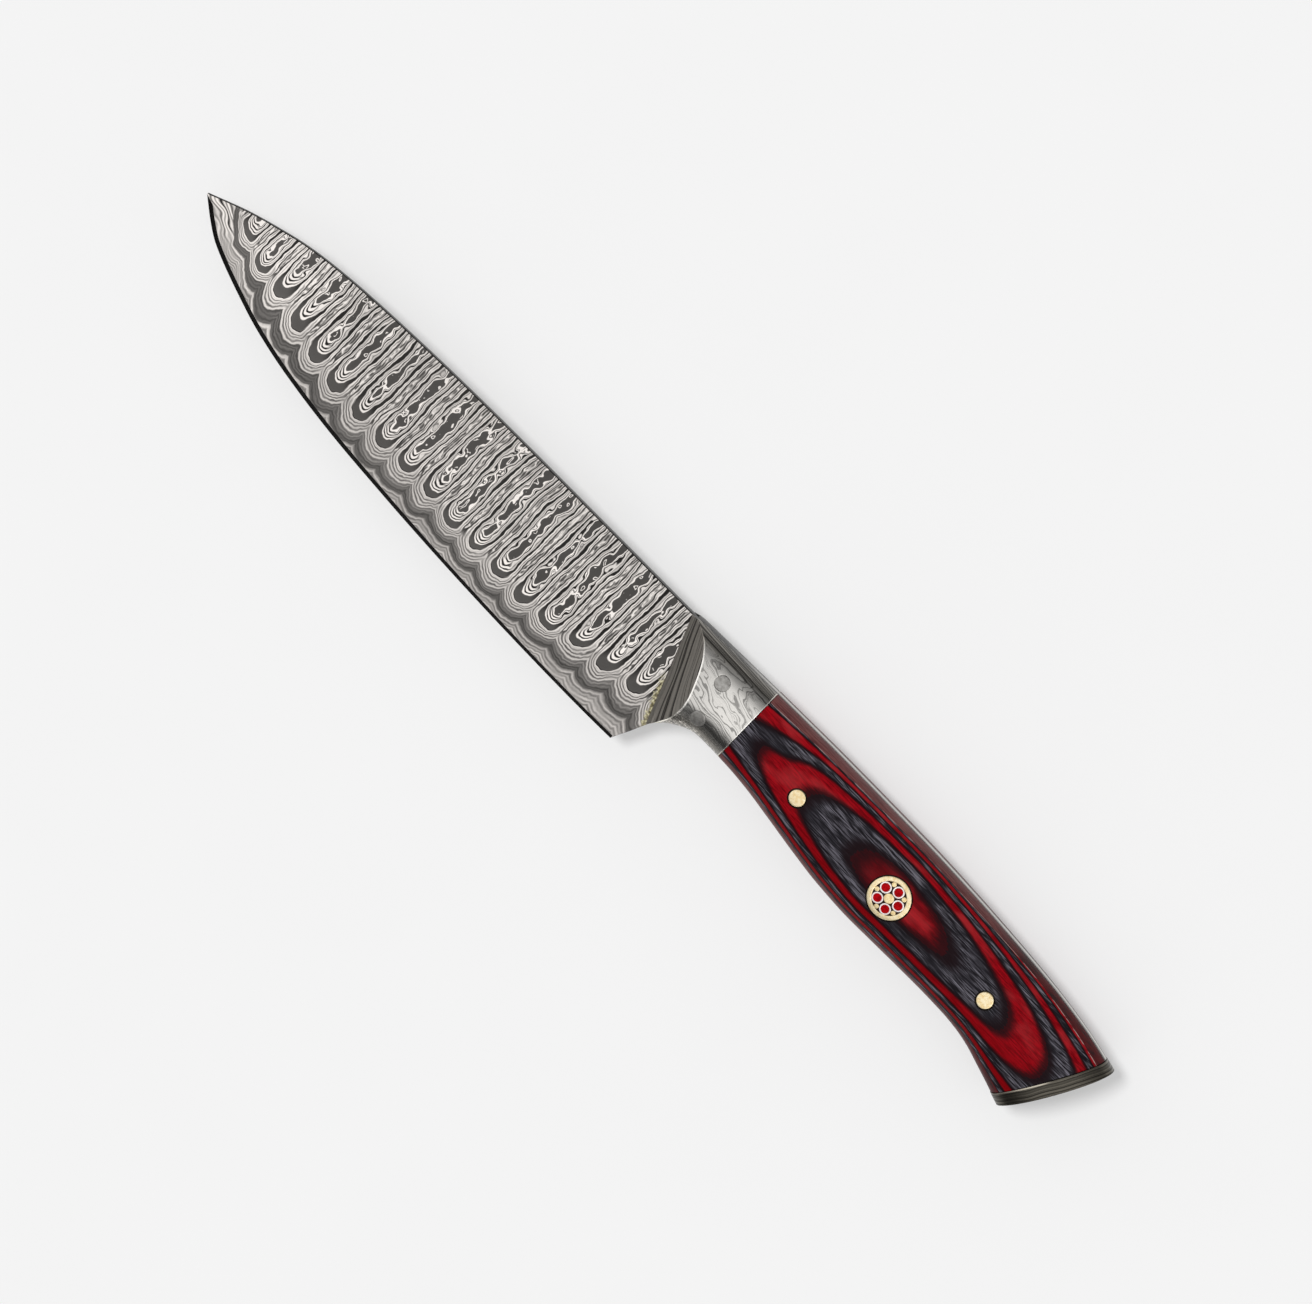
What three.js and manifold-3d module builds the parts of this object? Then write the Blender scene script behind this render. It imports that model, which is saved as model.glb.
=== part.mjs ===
// Full-tang chef knife with a pattern-welded blade, half bolsters, laminated-wood
// scales, brass pins, a mosaic pin and a pattern-welded butt plate. Millimetres.
//
// Working frame: X runs from the blade tip to the butt, Y from the cutting edge to
// the spine, Z out of the left face, with Z = 0 on the blade's middle plane.
// At the end the knife is laid on its right side, with the origin at the middle of
// its box, on the surface that it lies on.
import * as THREE from "three";
import { mergeVertices } from "three/addons/utils/BufferGeometryUtils.js";
import Module from "manifold-3d";

const wasm = await Module();
wasm.setup();

// ---------------------------------------------------------------- dimensions
const TANG_THICKNESS = 3.0; // steel between the scales
const JOINT_GAP = 0.15; // glue line under the scales, bolsters and butt plate
const PIN_GAP = 0.1; // clearance of a pin in its hole
const MOSAIC_GAP = 0.04; // resin film inside the mosaic pin

// Blade faces: flat grind, each face one exact plane. Half thickness at (x, y).
const FACE_BASE = 0.4645;
const FACE_PER_X = 0.0016;
const FACE_PER_Y = 0.0305;
const faceZ = (x, y) => FACE_BASE + FACE_PER_X * x + FACE_PER_Y * y;
const BEVEL_WIDTH = 0.65; // sharpening bevel along the edge
const EDGE_LAND = 0.02; // half thickness left at the very edge

// Outline of the blade, [x, y].
const SPINE = [
  [0, 0.1], [4.4, 2.0], [8.9, 3.85], [13.3, 5.35], [17.8, 6.72], [22.2, 7.95],
  [26.7, 8.9], [31.1, 9.62], [40, 10.7], [53.3, 11.8], [71, 12.85], [88.8, 13.55],
  [110.9, 14.2], [133, 14.8], [141.9, 15.05], [150, 15.5], [160, 16.0],
];
const EDGE = [
  [0, -0.35], [1.8, -1.75], [4.3, -3.66], [8.7, -6.45], [13.1, -8.3], [17.5, -9.85],
  [22, -11.3], [26.3, -12.6], [31, -13.75], [39.6, -15.35], [52.9, -16.95],
  [61.8, -17.65], [71, -18.12], [84, -18.66], [101.8, -19.08], [113, -19.16],
  [120, -19.14], [133, -19.0], [141.9, -18.78], [149.14, -18.47],
];
const HEEL_X = 149.14; // rear end of the cutting edge
const HEEL = [
  [149.16, -18.4], [149.87, -16.6], [150.95, -14.2], [151.91, -11.7], [152.9, -9.3],
  [154.1, -7.45], [155.6, -6.1], [157.4, -4.95], [160, -4.0],
];

// The grip's envelope: bolsters, scales, tang and butt plate are all cut from it.
const GRIP_TOP = [
  [138, 14.7], [141.9, 15.1], [143, 15.4], [144.2, 15.58], [150.8, 15.95], [159.6, 16.36],
  [167.8, 16.74], [177.3, 17.1], [186.2, 17.42], [203.9, 17.78], [217.2, 17.95],
  [230.5, 17.78], [239.3, 17.5], [248.2, 17.12], [257, 16.55], [265.9, 15.6],
  [270.4, 14.95], [275.5, 13.95], [282, 12.5],
];
const GRIP_BOTTOM = [
  [138, -20], [146, -15.5], [150, -12.6], [152.8, -9.5], [154.1, -7.6], [155.7, -6.2],
  [157.4, -5.0], [159.2, -4.0], [161.2, -3.35], [164.7, -3.1], [168, -3.05], [172, -3.1],
  [177.3, -3.4], [186.2, -4.45], [195, -5.6], [203.9, -6.5], [212.8, -6.8],
  [221.7, -6.48], [230.5, -6.1], [239.4, -5.85], [243.8, -5.87], [248.2, -6.15],
  [252.7, -6.9], [257.1, -8.15], [261.6, -9.5], [266, -10.9], [270, -12.1], [282, -15.5],
];
const GRIP_CROWN = [ // half thickness on the ridge
  [138, 5.9], [142, 6.05], [150, 6.4], [157, 6.65], [168, 7.2], [175, 7.6], [189, 8.42],
  [206, 9.26], [217, 9.55], [224, 9.5], [236, 9.18], [248, 8.68], [255, 8.38],
  [266, 7.7], [271, 7.38], [282, 6.6],
];
const GRIP_RIDGE = [ // y of the ridge
  [138, 6.5], [157, 6.6], [168, 6.8], [190, 6.95], [217, 6.8], [232, 5.9], [246, 4.6],
  [257, 3.5], [271, 2.2], [282, 1.2],
];
const GRIP_TOP_POWER = [[138, 3.0], [168, 3.0], [217, 2.8], [282, 2.5]];
const GRIP_BOTTOM_POWER = [[138, 2.2], [168, 2.3], [217, 2.15], [282, 2.2]];

// Half bolsters: rear joint line, front ramp rising from a seam across the blade.
const BOLSTER_REAR_X = 168.3;
const BOLSTER_REAR_SLOPE = -0.0508; // x per y
const SEAM_START = [141.65, 15.07];
const SEAM_END = [152.0, -9.59];
const RAMP_SLOPE = 0.77;
const RAMP_LIP = 0.25;
const TANG_STEP = 1.4; // the flat tang starts this far behind the seam
const BOLSTER_PIN_RADIUS = 1.8;
const BOLSTER_PINS = [["bolster_pin_upper", 157.3, 10.35], ["bolster_pin_lower", 159.25, 0.6]];

// Handle pins.
const HANDLE_PIN_RADIUS = 2.0;
const HANDLE_PINS = [["handle_pin_front", 187.0, 5.25], ["handle_pin_rear", 247.8, 4.95]];
const MOSAIC_AT = [216.9, 5.15];
const MOSAIC_RADIUS = 5.05;
const MOSAIC_BORE = 4.05;
const MOSAIC_TUBE_RING = 2.6;
const MOSAIC_TUBE_RADIUS = 1.35;
const MOSAIC_TUBE_BORE = 1.05;
const MOSAIC_ROD_RING = 3.48;
const MOSAIC_ROD_RADIUS = 0.5;
const MOSAIC_CORE_RADIUS = 1.05;
const MOSAIC_TURN = 7.5; // degrees, first tube

// Butt plate.
const CAP_FRONT_X = 269.35; // where its front plane crosses y = 0
const CAP_SLOPE = 0.499; // x per y
const CAP_THICKNESS = 2.95;
const CAP_DOME = 0.4;
const CAP_PROUD = 0.12; // stands this much proud of the wood

// ------------------------------------------------------------------- helpers
// Monotone cubic through [x, value] points.
function curve(points) {
  const n = points.length;
  const h = [], d = [], m = new Array(n);
  for (let i = 0; i < n - 1; i++) {
    h.push(points[i + 1][0] - points[i][0]);
    d.push((points[i + 1][1] - points[i][1]) / h[i]);
  }
  m[0] = d[0];
  m[n - 1] = d[n - 2];
  for (let i = 1; i < n - 1; i++)
    m[i] = d[i - 1] * d[i] <= 0 ? 0
      : (3 * (h[i - 1] + h[i])) /
        ((2 * h[i] + h[i - 1]) / d[i - 1] + (h[i] + 2 * h[i - 1]) / d[i]);
  return (x) => {
    let i = 0;
    while (i < n - 2 && x > points[i + 1][0]) i++;
    const t = THREE.MathUtils.clamp((x - points[i][0]) / h[i], 0, 1);
    const a = (1 + 2 * t) * (1 - t) ** 2, b = t * (1 - t) ** 2;
    const c = t * t * (3 - 2 * t), e = t * t * (t - 1);
    return a * points[i][1] + b * h[i] * m[i] + c * points[i + 1][1] + e * h[i] * m[i + 1];
  };
}
const spineY = curve(SPINE), edgeY = curve(EDGE), heelY = curve(HEEL);
const gripTop = curve(GRIP_TOP), gripBottom = curve(GRIP_BOTTOM);
const gripCrown = curve(GRIP_CROWN), gripRidge = curve(GRIP_RIDGE);
const topPower = curve(GRIP_TOP_POWER), bottomPower = curve(GRIP_BOTTOM_POWER);

// A closed three.js geometry as a solid that can be cut.
function solid(geometry, matrix) {
  let g = geometry.index ? geometry.toNonIndexed() : geometry.clone();
  g.deleteAttribute("normal");
  g.deleteAttribute("uv");
  if (matrix) g.applyMatrix4(matrix);
  g = mergeVertices(g, 1e-4);
  const tri = [];
  const ix = g.index.array;
  for (let i = 0; i < ix.length; i += 3)
    if (ix[i] !== ix[i + 1] && ix[i + 1] !== ix[i + 2] && ix[i] !== ix[i + 2])
      tri.push(ix[i], ix[i + 1], ix[i + 2]);
  return new wasm.Manifold(new wasm.Mesh({
    numProp: 3,
    vertProperties: new Float32Array(g.attributes.position.array),
    triVerts: new Uint32Array(tri),
  }));
}

// A solid back as a three.js geometry.
function geometryOf(s) {
  const mesh = s.getMesh();
  const g = new THREE.BufferGeometry();
  g.setAttribute("position", new THREE.BufferAttribute(new Float32Array(mesh.vertProperties), 3));
  g.setIndex(new THREE.BufferAttribute(new Uint32Array(mesh.triVerts), 1));
  g.computeVertexNormals();
  return g;
}

// Rings of [y, z] points, anticlockwise seen from +X, joined along x, with both ends closed.
function loft(stations) {
  const n = stations[0].ring.length;
  const position = [], index = [];
  for (const s of stations) for (const [y, z] of s.ring) position.push(s.x, y, z);
  for (let i = 0; i < stations.length - 1; i++)
    for (let j = 0; j < n; j++) {
      const k = (j + 1) % n;
      const a = i * n + j, b = i * n + k, c = (i + 1) * n + k, d = (i + 1) * n + j;
      index.push(a, b, d, b, c, d);
    }
  const close = (station, base, turned) => {
    const mid = station.ring.reduce(([p, q], [y, z]) => [p + y / n, q + z / n], [0, 0]);
    const m = position.length / 3;
    position.push(station.x, mid[0], mid[1]);
    for (let j = 0; j < n; j++) {
      const k = (j + 1) % n;
      index.push(m, base + (turned ? k : j), base + (turned ? j : k));
    }
  };
  close(stations[0], 0, true);
  close(stations[stations.length - 1], (stations.length - 1) * n, false);
  const g = new THREE.BufferGeometry();
  g.setAttribute("position", new THREE.Float32BufferAttribute(position, 3));
  g.setIndex(index);
  return g;
}

// An outline in the XY plane, extruded from z0 to z1.
function slab(points, z0, z1) {
  const shape = new THREE.Shape(points.map(([x, y]) => new THREE.Vector2(x, y)));
  const g = new THREE.ExtrudeGeometry(shape, { depth: z1 - z0, bevelEnabled: false });
  return solid(g, new THREE.Matrix4().makeTranslation(0, 0, z0));
}

// A round bar along Z through (x, y).
function bar(x, y, radius, segments, z0 = -20, z1 = 20) {
  const g = new THREE.CylinderGeometry(radius, radius, z1 - z0, segments, 1);
  g.rotateX(Math.PI / 2);
  return solid(g, new THREE.Matrix4().makeTranslation(x, y, (z0 + z1) / 2));
}

// ------------------------------------------------------------ grip envelope
// Section at x: a crowned oval, fuller towards the spine.
function gripRing(x, grow, count) {
  const yt = gripTop(x) + grow, yb = gripBottom(x) - grow, a = gripCrown(x) + grow, yr = gripRidge(x);
  const ring = [];
  for (let k = 0; k < count; k++) {
    const t = (2 * Math.PI * (k + 0.5)) / count;
    const c = Math.cos(t), s = Math.sin(t);
    const p = c >= 0 ? topPower(x) : bottomPower(x);
    const reach = c >= 0 ? yt - yr : yr - yb;
    ring.push([
      yr + Math.sign(c) * reach * Math.abs(c) ** (2 / p),
      Math.sign(s) * a * Math.abs(s) ** (2 / p),
    ]);
  }
  return ring;
}
function gripEnvelope(grow = 0) {
  const xs = [139, 142.5, 146, 149.5, 152.5, 154.5, 156.5, 158.5, 160.5, 163.5, 167, 171, 176,
    182, 188, 194, 200, 206, 211, 216, 221, 226, 231, 236, 241, 246, 251, 256, 261, 266,
    271, 276, 281];
  return solid(loft(xs.map((x) => ({ x, ring: gripRing(x, grow, 36) }))));
}
const grip = gripEnvelope();

// ------------------------------------------------------------ cutting solids
const FAR = 40;
// Everything behind a line x = x0 + slope * y (or in front of it).
const behind = (x0, slope) =>
  slab([[x0 - slope * FAR, -FAR], [320, -FAR], [320, FAR], [x0 + slope * FAR, FAR]], -FAR, FAR);
const seamLength = Math.hypot(SEAM_END[0] - SEAM_START[0], SEAM_END[1] - SEAM_START[1]);
const seamNormal = [
  -(SEAM_END[1] - SEAM_START[1]) / seamLength,
  (SEAM_END[0] - SEAM_START[0]) / seamLength,
];
// Everything more than d behind the seam line.
function behindSeam(d) {
  const along = [(SEAM_END[0] - SEAM_START[0]) / seamLength, (SEAM_END[1] - SEAM_START[1]) / seamLength];
  const at = (t, o) => [
    SEAM_START[0] + along[0] * t + seamNormal[0] * o,
    SEAM_START[1] + along[1] * t + seamNormal[1] * o,
  ];
  return slab([at(60, d), at(60, 260), at(-40, 260), at(-40, d)], -FAR, FAR);
}
// Everything below the ramp plane of the left half bolster.
function underRamp() {
  const z = (x, y) =>
    faceZ(x, y) + RAMP_LIP +
    RAMP_SLOPE * ((x - SEAM_START[0]) * seamNormal[0] + (y - SEAM_START[1]) * seamNormal[1]);
  const g = new THREE.BoxGeometry(70, 80, 1);
  const p = g.attributes.position;
  for (let i = 0; i < p.count; i++) {
    const x = p.getX(i) + 160, y = p.getY(i);
    p.setXYZ(i, x, y, p.getZ(i) > 0 ? z(x, y) : -90);
  }
  return solid(g);
}

// -------------------------------------------------------------------- blade
function bladeWedge(extra = 0) {
  const xs = [0, 1.2, 2.6, 4.3, 6.5, 9, 12, 15, 18.5, 22, 26, 30.5, 35, 40, 46, 53, 61, 70,
    80, 92, 105, 118, 131, 141, HEEL_X];
  const stations = xs.map((x) => {
    const yt = spineY(x) + extra, yb = edgeY(x) - extra;
    const slope = (edgeY(x + 0.2) - edgeY(Math.max(0, x - 0.2))) / 0.4;
    const rise = Math.min(BEVEL_WIDTH * Math.hypot(1, Math.min(0, slope)), (yt - yb) * 0.4);
    const ys = yb + rise;
    const zs = faceZ(x, ys) + extra, zt = faceZ(x, yt) + extra, ze = EDGE_LAND + extra;
    return { x: x === 0 ? -extra : x, ring: [[yb, -ze], [yb, ze], [ys, zs], [yt, zt], [yt, -zt], [ys, -zs]].reverse() };
  });
  for (const x of [149.16, 149.8, 150.9, 151.9, 152.9, 154, 155.4, 157]) {
    const yt = spineY(x) + extra, yb = heelY(x) - extra;
    const zb = faceZ(x, yb) + extra, zt = faceZ(x, yt) + extra;
    const ym = yb + 0.3;
    const zm = faceZ(x, ym) + extra;
    stations.push({ x, ring: [[yb, -zb], [yb, zb], [ym, zm], [yt, zt], [yt, -zt], [ym, -zm]].reverse() });
  }
  return solid(loft(stations));
}
const half = TANG_THICKNESS / 2;
const tangRegion = (extra) =>
  slab([[130, -FAR], [320, -FAR], [320, FAR], [130, FAR]], -half - extra, half + extra);
const capFrontAt = CAP_FRONT_X - JOINT_GAP * Math.hypot(1, CAP_SLOPE);
const behindCap = behind(capFrontAt, CAP_SLOPE);
const tang = grip.intersect(tangRegion(0)).intersect(behindSeam(TANG_STEP)).subtract(behindCap);
let blade = bladeWedge().add(tang);
for (const [, x, y] of BOLSTER_PINS) blade = blade.subtract(bar(x, y, BOLSTER_PIN_RADIUS + PIN_GAP, 28));
for (const [, x, y] of HANDLE_PINS) blade = blade.subtract(bar(x, y, HANDLE_PIN_RADIUS + PIN_GAP, 32));
blade = blade.subtract(bar(MOSAIC_AT[0], MOSAIC_AT[1], MOSAIC_RADIUS + PIN_GAP, 48));

// The room that the blade and tang take inside a bolster or scale.
const bladeRoom = bladeWedge(JOINT_GAP).add(
  grip.intersect(tangRegion(JOINT_GAP)).intersect(behindSeam(TANG_STEP - JOINT_GAP)));
const upper = slab([[130, -FAR], [320, -FAR], [320, FAR], [130, FAR]], half + JOINT_GAP, FAR);
const upperBolster = slab([[130, -FAR], [320, -FAR], [320, FAR], [130, FAR]], 0.3, FAR);

// ------------------------------------------------------------- half bolster
let bolster = grip
  .intersect(upperBolster)
  .intersect(underRamp())
  .intersect(behindSeam(0))
  .subtract(behind(BOLSTER_REAR_X - JOINT_GAP / 2, BOLSTER_REAR_SLOPE))
  .subtract(bladeRoom)
  .subtract(slab([[150, -FAR], [320, -FAR], [320, FAR], [150, FAR]], -FAR, half + JOINT_GAP)
    .intersect(behindSeam(TANG_STEP - JOINT_GAP)));
for (const [, x, y] of BOLSTER_PINS) bolster = bolster.subtract(bar(x, y, BOLSTER_PIN_RADIUS + PIN_GAP, 28));

// -------------------------------------------------------------------- scale
let scale = grip
  .intersect(upper)
  .intersect(behind(BOLSTER_REAR_X + JOINT_GAP / 2, BOLSTER_REAR_SLOPE))
  .subtract(behindCap);
for (const [, x, y] of HANDLE_PINS) scale = scale.subtract(bar(x, y, HANDLE_PIN_RADIUS + PIN_GAP, 32));
scale = scale.subtract(bar(MOSAIC_AT[0], MOSAIC_AT[1], MOSAIC_RADIUS + PIN_GAP, 48));

// ---------------------------------------------------------------- butt plate
function buttPlate() {
  const length = Math.hypot(1, CAP_SLOPE);
  const along = [CAP_SLOPE / length, 1 / length]; // up the plate
  const out = [1 / length, -CAP_SLOPE / length]; // out of its rear face
  const at = (t, o) => [CAP_FRONT_X + along[0] * t + out[0] * o, along[1] * t + out[1] * o];
  const outline = [at(-30, 0)];
  for (let t = -30; t <= 30; t += 3) {
    const s = (t - 1.5) / 14;
    outline.push(at(t, CAP_THICKNESS + CAP_DOME * (1 - s * s)));
  }
  outline.push(at(30, 0));
  return gripEnvelope(CAP_PROUD).intersect(slab(outline, -FAR, FAR));
}
const endCap = buttPlate();

// ------------------------------------------------------------- the assembly
const knife = new THREE.Group();
const steel = (color, roughness) => new THREE.MeshStandardMaterial({ color, roughness, metalness: 1 });
function place(name, piece, material) {
  const mesh = new THREE.Mesh(geometryOf(piece), material);
  mesh.name = name;
  knife.add(mesh);
  return mesh;
}
// The right half of a pair is the left one turned over about the middle plane.
function placeMirrored(name, piece, material) {
  place(name, piece.mirror([0, 0, 1]), material);
}

place("blade", blade, steel(0x8d8983, 0.34));
place("bolster_left", bolster, steel(0x9a968e, 0.28));
placeMirrored("bolster_right", bolster, steel(0x9a968e, 0.28));
for (const [name, x, y] of BOLSTER_PINS)
  place(name, bar(x, y, BOLSTER_PIN_RADIUS, 28).intersect(grip), steel(0xa4a19b, 0.4));

const wood = () => new THREE.MeshStandardMaterial({ color: 0x8c1019, roughness: 0.3, metalness: 0 });
place("scale_left", scale, wood());
placeMirrored("scale_right", scale, wood());
for (const [name, x, y] of HANDLE_PINS)
  place(name, bar(x, y, HANDLE_PIN_RADIUS, 32).intersect(grip), steel(0xe6cf9a, 0.35));

// Mosaic pin: a brass tube packed with small tubes and rods set in resin.
const [mx, my] = MOSAIC_AT;
const ring = (k, radius, turn) => {
  const t = THREE.MathUtils.degToRad(turn + 72 * k);
  return [mx + radius * Math.cos(t), my + radius * Math.sin(t)];
};
place(
  "mosaic_tube",
  bar(mx, my, MOSAIC_RADIUS, 48).subtract(bar(mx, my, MOSAIC_BORE, 48)).intersect(grip),
  steel(0xdcc389, 0.35),
);
let resin = bar(mx, my, MOSAIC_BORE - MOSAIC_GAP, 48);
for (let k = 0; k < 5; k++) {
  const [x, y] = ring(k, MOSAIC_TUBE_RING, MOSAIC_TURN);
  place(
    "mosaic_steel_tube_" + (k + 1),
    bar(x, y, MOSAIC_TUBE_RADIUS, 24).subtract(bar(x, y, MOSAIC_TUBE_BORE, 24)).intersect(grip),
    steel(0xd9c6bd, 0.4),
  );
  place(
    "mosaic_enamel_rod_" + (k + 1),
    bar(x, y, MOSAIC_TUBE_BORE - MOSAIC_GAP, 24).intersect(grip),
    new THREE.MeshStandardMaterial({ color: 0xb30f1b, roughness: 0.35, metalness: 0 }),
  );
  resin = resin.subtract(bar(x, y, MOSAIC_TUBE_RADIUS + MOSAIC_GAP, 24));
  const [rx, ry] = ring(k, MOSAIC_ROD_RING, MOSAIC_TURN + 36);
  place("mosaic_brass_rod_" + (k + 1), bar(rx, ry, MOSAIC_ROD_RADIUS, 16).intersect(grip), steel(0xd8b56a, 0.4));
  resin = resin.subtract(bar(rx, ry, MOSAIC_ROD_RADIUS + MOSAIC_GAP, 16));
}
place("mosaic_core_rod", bar(mx, my, MOSAIC_CORE_RADIUS, 24).intersect(grip), steel(0xe2c68a, 0.35));
resin = resin.subtract(bar(mx, my, MOSAIC_CORE_RADIUS + MOSAIC_GAP, 24)).intersect(grip);
place("mosaic_resin", resin, new THREE.MeshStandardMaterial({ color: 0x1c1512, roughness: 0.4, metalness: 0 }));

place("end_cap", endCap, steel(0x7d7872, 0.36));

// Origin: middle of the knife's box, at the height of the surface it lies on.
const box = new THREE.Box3().setFromObject(knife);
knife.position.set(-(box.min.x + box.max.x) / 2, -(box.min.y + box.max.y) / 2, -box.min.z);
const group = new THREE.Group();
group.name = "chef_knife";
group.add(knife);

export default group;
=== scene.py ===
import math

import bmesh
import bpy
import numpy as np
from mathutils import Matrix, Vector


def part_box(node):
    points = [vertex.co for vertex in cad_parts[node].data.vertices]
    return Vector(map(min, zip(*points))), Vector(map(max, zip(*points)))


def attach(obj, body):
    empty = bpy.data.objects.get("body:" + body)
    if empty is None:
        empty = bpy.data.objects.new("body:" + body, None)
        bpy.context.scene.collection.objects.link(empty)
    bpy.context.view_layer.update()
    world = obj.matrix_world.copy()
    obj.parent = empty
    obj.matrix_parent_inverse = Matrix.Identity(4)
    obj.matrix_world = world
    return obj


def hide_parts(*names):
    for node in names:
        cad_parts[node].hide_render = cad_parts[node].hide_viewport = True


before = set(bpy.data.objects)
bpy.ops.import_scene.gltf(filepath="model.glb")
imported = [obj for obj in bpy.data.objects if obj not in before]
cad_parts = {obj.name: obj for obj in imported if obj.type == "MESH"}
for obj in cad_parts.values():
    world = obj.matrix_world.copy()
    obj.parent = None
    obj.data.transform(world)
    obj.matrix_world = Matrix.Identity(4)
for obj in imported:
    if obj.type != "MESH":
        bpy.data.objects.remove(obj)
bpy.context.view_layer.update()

# Working frame of the shapes below, in millimetres: X from the tip to the butt, Y from
# the edge to the spine, Z out of the left face, Z = 0 on the blade's middle plane.
MOSAIC_AT = (216.9, 5.15)
_lo, _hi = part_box("mosaic_core_rod")
SHIFT = Vector((
    (_lo[0] + _hi[0]) * 500 - MOSAIC_AT[0],
    (_lo[1] + _hi[1]) * 500 - MOSAIC_AT[1],
    (_lo[2] + _hi[2]) * 500,
))

# ------------------------------------------------------------------ dimensions
TANG_HALF = 1.5
JOINT_GAP = 0.15
PIN_GAP = 0.1
FACE_BASE, FACE_PER_X, FACE_PER_Y = 0.4645, 0.0016, 0.0305
BEVEL_WIDTH, EDGE_LAND = 0.65, 0.02

SPINE = [
    [0, .1], [4.4, 2], [8.9, 3.85], [13.3, 5.35], [17.8, 6.72], [22.2, 7.95], [26.7, 8.9],
    [31.1, 9.62], [40, 10.7], [53.3, 11.8], [71, 12.85], [88.8, 13.55], [110.9, 14.2],
    [133, 14.8], [141.9, 15.05], [150, 15.5], [160, 16]]
EDGE = [
    [0, -.35], [1.8, -1.75], [4.3, -3.66], [8.7, -6.45], [13.1, -8.3], [17.5, -9.85],
    [22, -11.3], [26.3, -12.6], [31, -13.75], [39.6, -15.35], [52.9, -16.95], [61.8, -17.65],
    [71, -18.12], [84, -18.66], [101.8, -19.08], [113, -19.16], [120, -19.14], [133, -19],
    [141.9, -18.78], [149.14, -18.47]]
HEEL_X = 149.14
HEEL = [
    [149.16, -18.4], [149.87, -16.6], [150.95, -14.2], [151.91, -11.7], [152.9, -9.3],
    [154.1, -7.45], [155.6, -6.1], [157.4, -4.95], [160, -4]]
GRIP_TOP = [
    [138, 14.7], [141.9, 15.1], [143, 15.4], [144.2, 15.58], [150.8, 15.95], [159.6, 16.36],
    [167.8, 16.74], [177.3, 17.1], [186.2, 17.42], [203.9, 17.78], [217.2, 17.95],
    [230.5, 17.78], [239.3, 17.5], [248.2, 17.12], [257, 16.55], [265.9, 15.6],
    [270.4, 14.95], [275.5, 13.95], [282, 12.5]]
GRIP_BOTTOM = [
    [138, -20], [146, -15.5], [150, -12.6], [152.8, -9.5], [154.1, -7.6], [155.7, -6.2],
    [157.4, -5], [159.2, -4], [161.2, -3.35], [164.7, -3.1], [168, -3.05], [172, -3.1],
    [177.3, -3.4], [186.2, -4.45], [195, -5.6], [203.9, -6.5], [212.8, -6.8],
    [221.7, -6.48], [230.5, -6.1], [239.4, -5.85], [243.8, -5.87], [248.2, -6.15],
    [252.7, -6.9], [257.1, -8.15], [261.6, -9.5], [266, -10.9], [270, -12.1], [282, -15.5]]
GRIP_CROWN = [
    [138, 5.9], [142, 6.05], [150, 6.4], [157, 6.65], [168, 7.2], [175, 7.6], [189, 8.42],
    [206, 9.26], [217, 9.55], [224, 9.5], [236, 9.18], [248, 8.68], [255, 8.38],
    [266, 7.7], [271, 7.38], [282, 6.6]]
GRIP_RIDGE = [
    [138, 6.5], [157, 6.6], [168, 6.8], [190, 6.95], [217, 6.8], [232, 5.9], [246, 4.6],
    [257, 3.5], [271, 2.2], [282, 1.2]]
GRIP_TOP_POWER = [[138, 3], [168, 3], [217, 2.8], [282, 2.5]]
GRIP_BOTTOM_POWER = [[138, 2.2], [168, 2.3], [217, 2.15], [282, 2.2]]

BOLSTER_REAR_X, BOLSTER_REAR_SLOPE = 168.3, -0.0508
SEAM_START, SEAM_END = (141.65, 15.07), (152.0, -9.59)
RAMP_SLOPE, RAMP_LIP, TANG_STEP = 0.77, 0.25, 1.4
BOLSTER_PINS = [("bolster_pin_upper", 157.3, 10.35), ("bolster_pin_lower", 159.25, 0.6)]
BOLSTER_PIN_R, HANDLE_PIN_R = 1.8, 2.0
HANDLE_PINS = [("handle_pin_front", 187.0, 5.25), ("handle_pin_rear", 247.8, 4.95)]
MOSAIC_R, MOSAIC_BORE, MOSAIC_GAP = 5.05, 4.05, 0.04
MOSAIC_TUBE_RING, MOSAIC_TUBE_R, MOSAIC_TUBE_BORE = 2.6, 1.35, 1.05
MOSAIC_ROD_RING, MOSAIC_ROD_R, MOSAIC_CORE_R, MOSAIC_TURN = 3.48, 0.5, 1.05, 7.5
CAP_FRONT_X, CAP_SLOPE, CAP_THICKNESS, CAP_DOME, CAP_PROUD = 269.35, 0.499, 2.95, 0.4, 0.12
CAP_BASE = CAP_FRONT_X / math.hypot(1, CAP_SLOPE)


def curve(points):
    """Monotone cubic through [x, value] points."""
    px = np.array([p[0] for p in points], float)
    py = np.array([p[1] for p in points], float)
    h, d = np.diff(px), np.diff(py) / np.diff(px)
    m = np.zeros(len(px))
    m[0], m[-1] = d[0], d[-1]
    for i in range(1, len(px) - 1):
        if d[i - 1] * d[i] > 0:
            m[i] = 3 * (h[i - 1] + h[i]) / (
                (2 * h[i] + h[i - 1]) / d[i - 1] + (h[i] + 2 * h[i - 1]) / d[i])

    def f(x):
        x = np.asarray(x, float)
        i = np.clip(np.searchsorted(px, x, side="left") - 1, 0, len(px) - 2)
        t = np.clip((x - px[i]) / h[i], 0, 1)
        return ((1 + 2 * t) * (1 - t) ** 2 * py[i] + t * (1 - t) ** 2 * h[i] * m[i]
                + t * t * (3 - 2 * t) * py[i + 1] + t * t * (t - 1) * h[i] * m[i + 1])
    return f


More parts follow.
